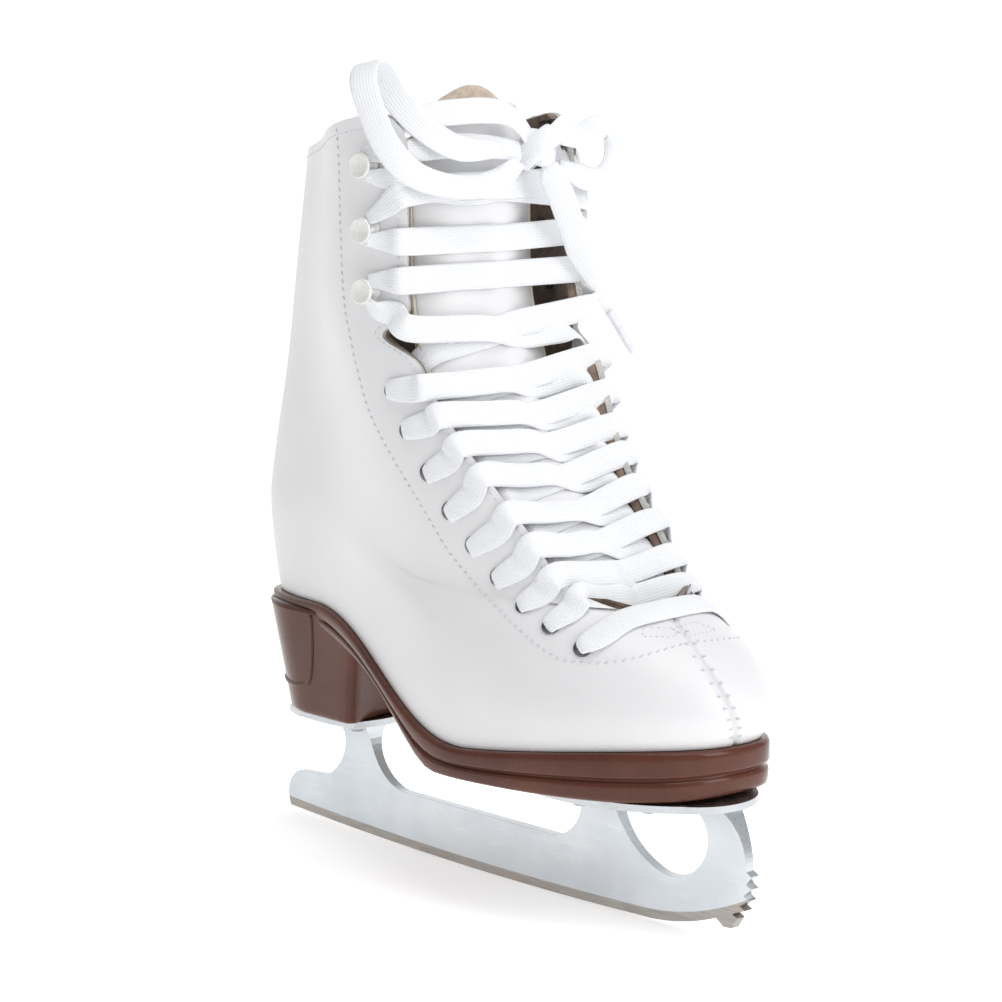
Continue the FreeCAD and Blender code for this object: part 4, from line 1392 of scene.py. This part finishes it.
def aglet(name, node, route):
    """The stiff clear tip at a free end, with a rolled mouth."""
    end, before = np.array(route[-1], float), np.array(route[-2], float)
    along = unit(end - before)
    profile = [
        (0.01, -0.6), (1.5, -0.5), (1.75, 0.2), (1.6, 1.2), (1.55, 10.0), (1.5, 18.8), (1.15, 19.8),
        (0.01, 20.0),
    ]
    points, faces = turned(profile, end, along, 16)
    tip = make_piece(name, points, faces, [TIP])
    tidy_normals(tip)
    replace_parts(tip, node)
    return tip


def free_band(lace, points, facings, widths, count=60, cup=0.3):
    """Adds a ribbon through listed points, facing the way given at each."""
    lace.add(ribbon(*eased(points, [unit(f) for f in facings], widths, count), cup=cup))


def make_bow():
    ribbon_cord(
        "bow_loop_outer", "lace_loop_outer", LOOP_OUTER,
        [(0.8, -0.4, 0.5), (0.7, -0.5, 0.6), (0.6, -0.65, 0.5), (0.6, -0.75, 0.3), (0.55, -0.8, 0.15),
         (0.55, -0.8, 0.1), (0.5, -0.7, 0.45), (0.0, -0.15, 1.0), (-0.6, 0.5, 0.6), (-0.65, 0.75, 0.0),
         (-0.65, 0.7, -0.3), (-0.7, 0.6, -0.4), (-0.8, 0.4, -0.4)],
    )
    ribbon_cord(
        "bow_loop_inner", "lace_loop_inner", LOOP_INNER,
        [(0.8, -0.2, 0.6), (0.7, -0.4, 0.6), (0.7, -0.6, 0.4), (0.75, -0.65, 0.1), (0.8, -0.6, 0.0),
         (0.8, -0.5, 0.2), (0.8, -0.4, 0.3)],
    )
    tip_front = aglet("tip_front", "aglet_front", END_FRONT)
    tip_back = aglet("tip_back", "aglet_back", END_BACK)
    ribbon_cord(
        "lace_end_near", "lace_end_front", END_FRONT, [AWAY] * 3, 0.3,
    )
    ribbon_cord(
        "lace_end_far", "lace_end_back", END_BACK, [(0.7, 0.5, 0.4), (0.5, 0.8, 0.2), (0.6, 0.8, 0.0)],
        0.3,
    )
    make_knot()


def make_knot():
    """The bow's knot with its bands: two from the outer hook, one to the inner hook."""
    lace = Laces()
    centre = KNOT_CENTRE
    front = unit(np.array(AWAY))
    slant = unit(np.array([0.50, 0.56, 0.62]))
    wrap, facings = [], []
    for turn in np.linspace(-50, 290, 15):
        a = math.radians(turn)
        arm = slant * 9.0 * math.cos(a) + front * 6.0 * math.sin(a)
        wrap.append(centre + arm)
        facings.append(arm)
    free_band(lace, wrap, facings, [9.0] * 15, 70, cup=1.6)
    reach, section = 8, 20
    heights = np.linspace(-reach, reach, 13)
    core = [centre + np.cross(slant, front) * h for h in heights]
    body, faces = tube(core, 5.4, section)
    pinched = [
        p + (q - p) * 0.75 * (abs(h) / reach) ** 3
        for p, q, h in zip(body, np.repeat(core, section, axis=0), np.repeat(heights, section))
    ]
    lace.add((pinched, faces, [(p[1], p[2]) for p in pinched]))
    outer_hook, outer_normal, _ = hook_hold(OUTER, EYELETS + 2, True)
    inner_hook, inner_normal, _ = hook_hold(INNER, EYELETS + 2, True)
    free_band(
        lace,
        [outer_hook, (108, -38, 270), (112, -26, 271.5), (116, -10, 272), (122, 8, 270)],
        [outer_normal, (0.6, -0.8, 0.1), (0.9, -0.4, 0.2), (1, -0.1, 0.2), (1, 0, 0.2)],
        [4.5, 8.0, 9.0, 9.0, 7.5],
    )
    free_band(
        lace,
        [outer_hook + outer_normal, (105, -41, 275), (109, -30, 281.5), (113, -16, 284),
         (117, -3, 284.5), (120, 6, 282), (122, 11, 276), (124, 13, 271)],
        [outer_normal, (0.5, -0.8, 0.3), (0.7, -0.6, 0.4), (0.9, -0.3, 0.4), (0.95, 0.0, 0.35),
         (0.9, 0.2, 0.3), (0.9, 0.3, 0.1), (0.9, 0.3, 0.0)],
        [4.5, 7.5, 10.0, 10.0, 10.0, 9.5, 8.5, 8.0],
    )
    free_band(
        lace,
        [inner_hook, (114, 41, 277), (119, 33, 278), (123, 22, 274)],
        [inner_normal, (0.8, 0.5, 0.3), (0.9, 0.3, 0.3), (1, 0.1, 0.2)],
        [4.5, 8.5, 9.0, 7.5],
    )
    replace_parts(lace.piece("bow_knot"), "lace_knot")


# --- CAD nodes that are shown as they are ---
KEPT = {
    "sole_plate": PLATE, "heel_plate": PLATE, "sole_plate_screws": SCREW, "heel_plate_screws": SCREW,
    "shank": SPRING, "insole_board": BOARD, "footbed": FOOTBED,
    "eyelets_lateral": GUNMETAL, "eyelets_medial": GUNMETAL,
    "hook_rivets_lateral": GUNMETAL, "hook_rivets_medial": GUNMETAL,
    "heel_counter_lateral": STIFFENER, "heel_counter_medial": STIFFENER,
    "toe_puff_lateral": STIFFENER, "toe_puff_medial": STIFFENER,
}


def finish_kept_nodes():
    """Gives the plain CAD nodes their materials."""
    for name, material in KEPT.items():
        mesh = nodes[name].data
        mesh.materials.clear()
        mesh.materials.append(material)


# --- Floor, light and world ---
def make_stage():
    """White paper under the skate, curving up behind it."""
    n = Nodes("white_paper")
    cloud = n.noise(3.0, 2.0)
    paper = n.finish(
        n.mixed(cloud, (0.93, 0.93, 0.93), (0.95, 0.95, 0.95)), 0.9,
        Emission_Color=(1.0, 1.0, 1.0, 1.0), Emission_Strength=0.50,
    )
    reach, lift, bend = 4.0, 3.2, 0.8
    profile = [(-reach, 0.0)] + [
        (reach - bend + bend * math.sin(a), bend - bend * math.cos(a))
        for a in np.linspace(0, math.pi / 2, 16)
    ] + [(reach, lift)]
    back = Vector((-math.sin(AZIMUTH), math.cos(AZIMUTH), 0))
    side = Vector((back.y, -back.x, 0))
    points, faces = [], []
    for along, height in profile:
        for across in (-6.0, 6.0):
            points.append(back * along + side * across + Vector((0, 0, height - 0.0004)))
    mesh = bpy.data.meshes.new("stage")
    mesh.from_pydata(points, [], grid_faces(len(profile), 2))
    mesh.materials.append(paper)
    mesh.polygons.foreach_set("use_smooth", [True] * len(mesh.polygons))
    floor = bpy.data.objects.new("stage", mesh)
    scene.collection.objects.link(floor)


def area_light(name, place, size, power, target=(0.0, 0.0, 0.15)):
    data = bpy.data.lights.new(name, "AREA")
    data.shape = "RECTANGLE"
    data.size, data.size_y = size
    data.energy = power
    light = bpy.data.objects.new(name, data)
    light.location = place
    light.rotation_euler = (Vector(target) - Vector(place)).to_track_quat("-Z", "Y").to_euler()
    scene.collection.objects.link(light)


def make_light():
    world = bpy.data.worlds.new("studio")
    world.use_nodes = True
    backdrop = world.node_tree.nodes["Background"]
    backdrop.inputs["Color"].default_value = (1.0, 1.0, 1.0, 1.0)
    backdrop.inputs["Strength"].default_value = 0.42
    scene.world = world
    area_light("overhead", (0.40, 0.0, 1.5), (1.0, 1.0), 8.5)
    area_light("right_window", (1.3, 0.2, 0.8), (0.7, 1.0), 7.0)
    area_light("left_strip", (-1.0, -0.4, 0.6), (0.3, 1.2), 0.5)
    scene.view_settings.view_transform = "Standard"
    scene.view_settings.look = "None"


make_bow()
make_lacing()
make_quarters()
make_stitching()
make_tongue()
make_sole()
make_blade()
make_hooks()
finish_kept_nodes()
make_stage()
make_light()
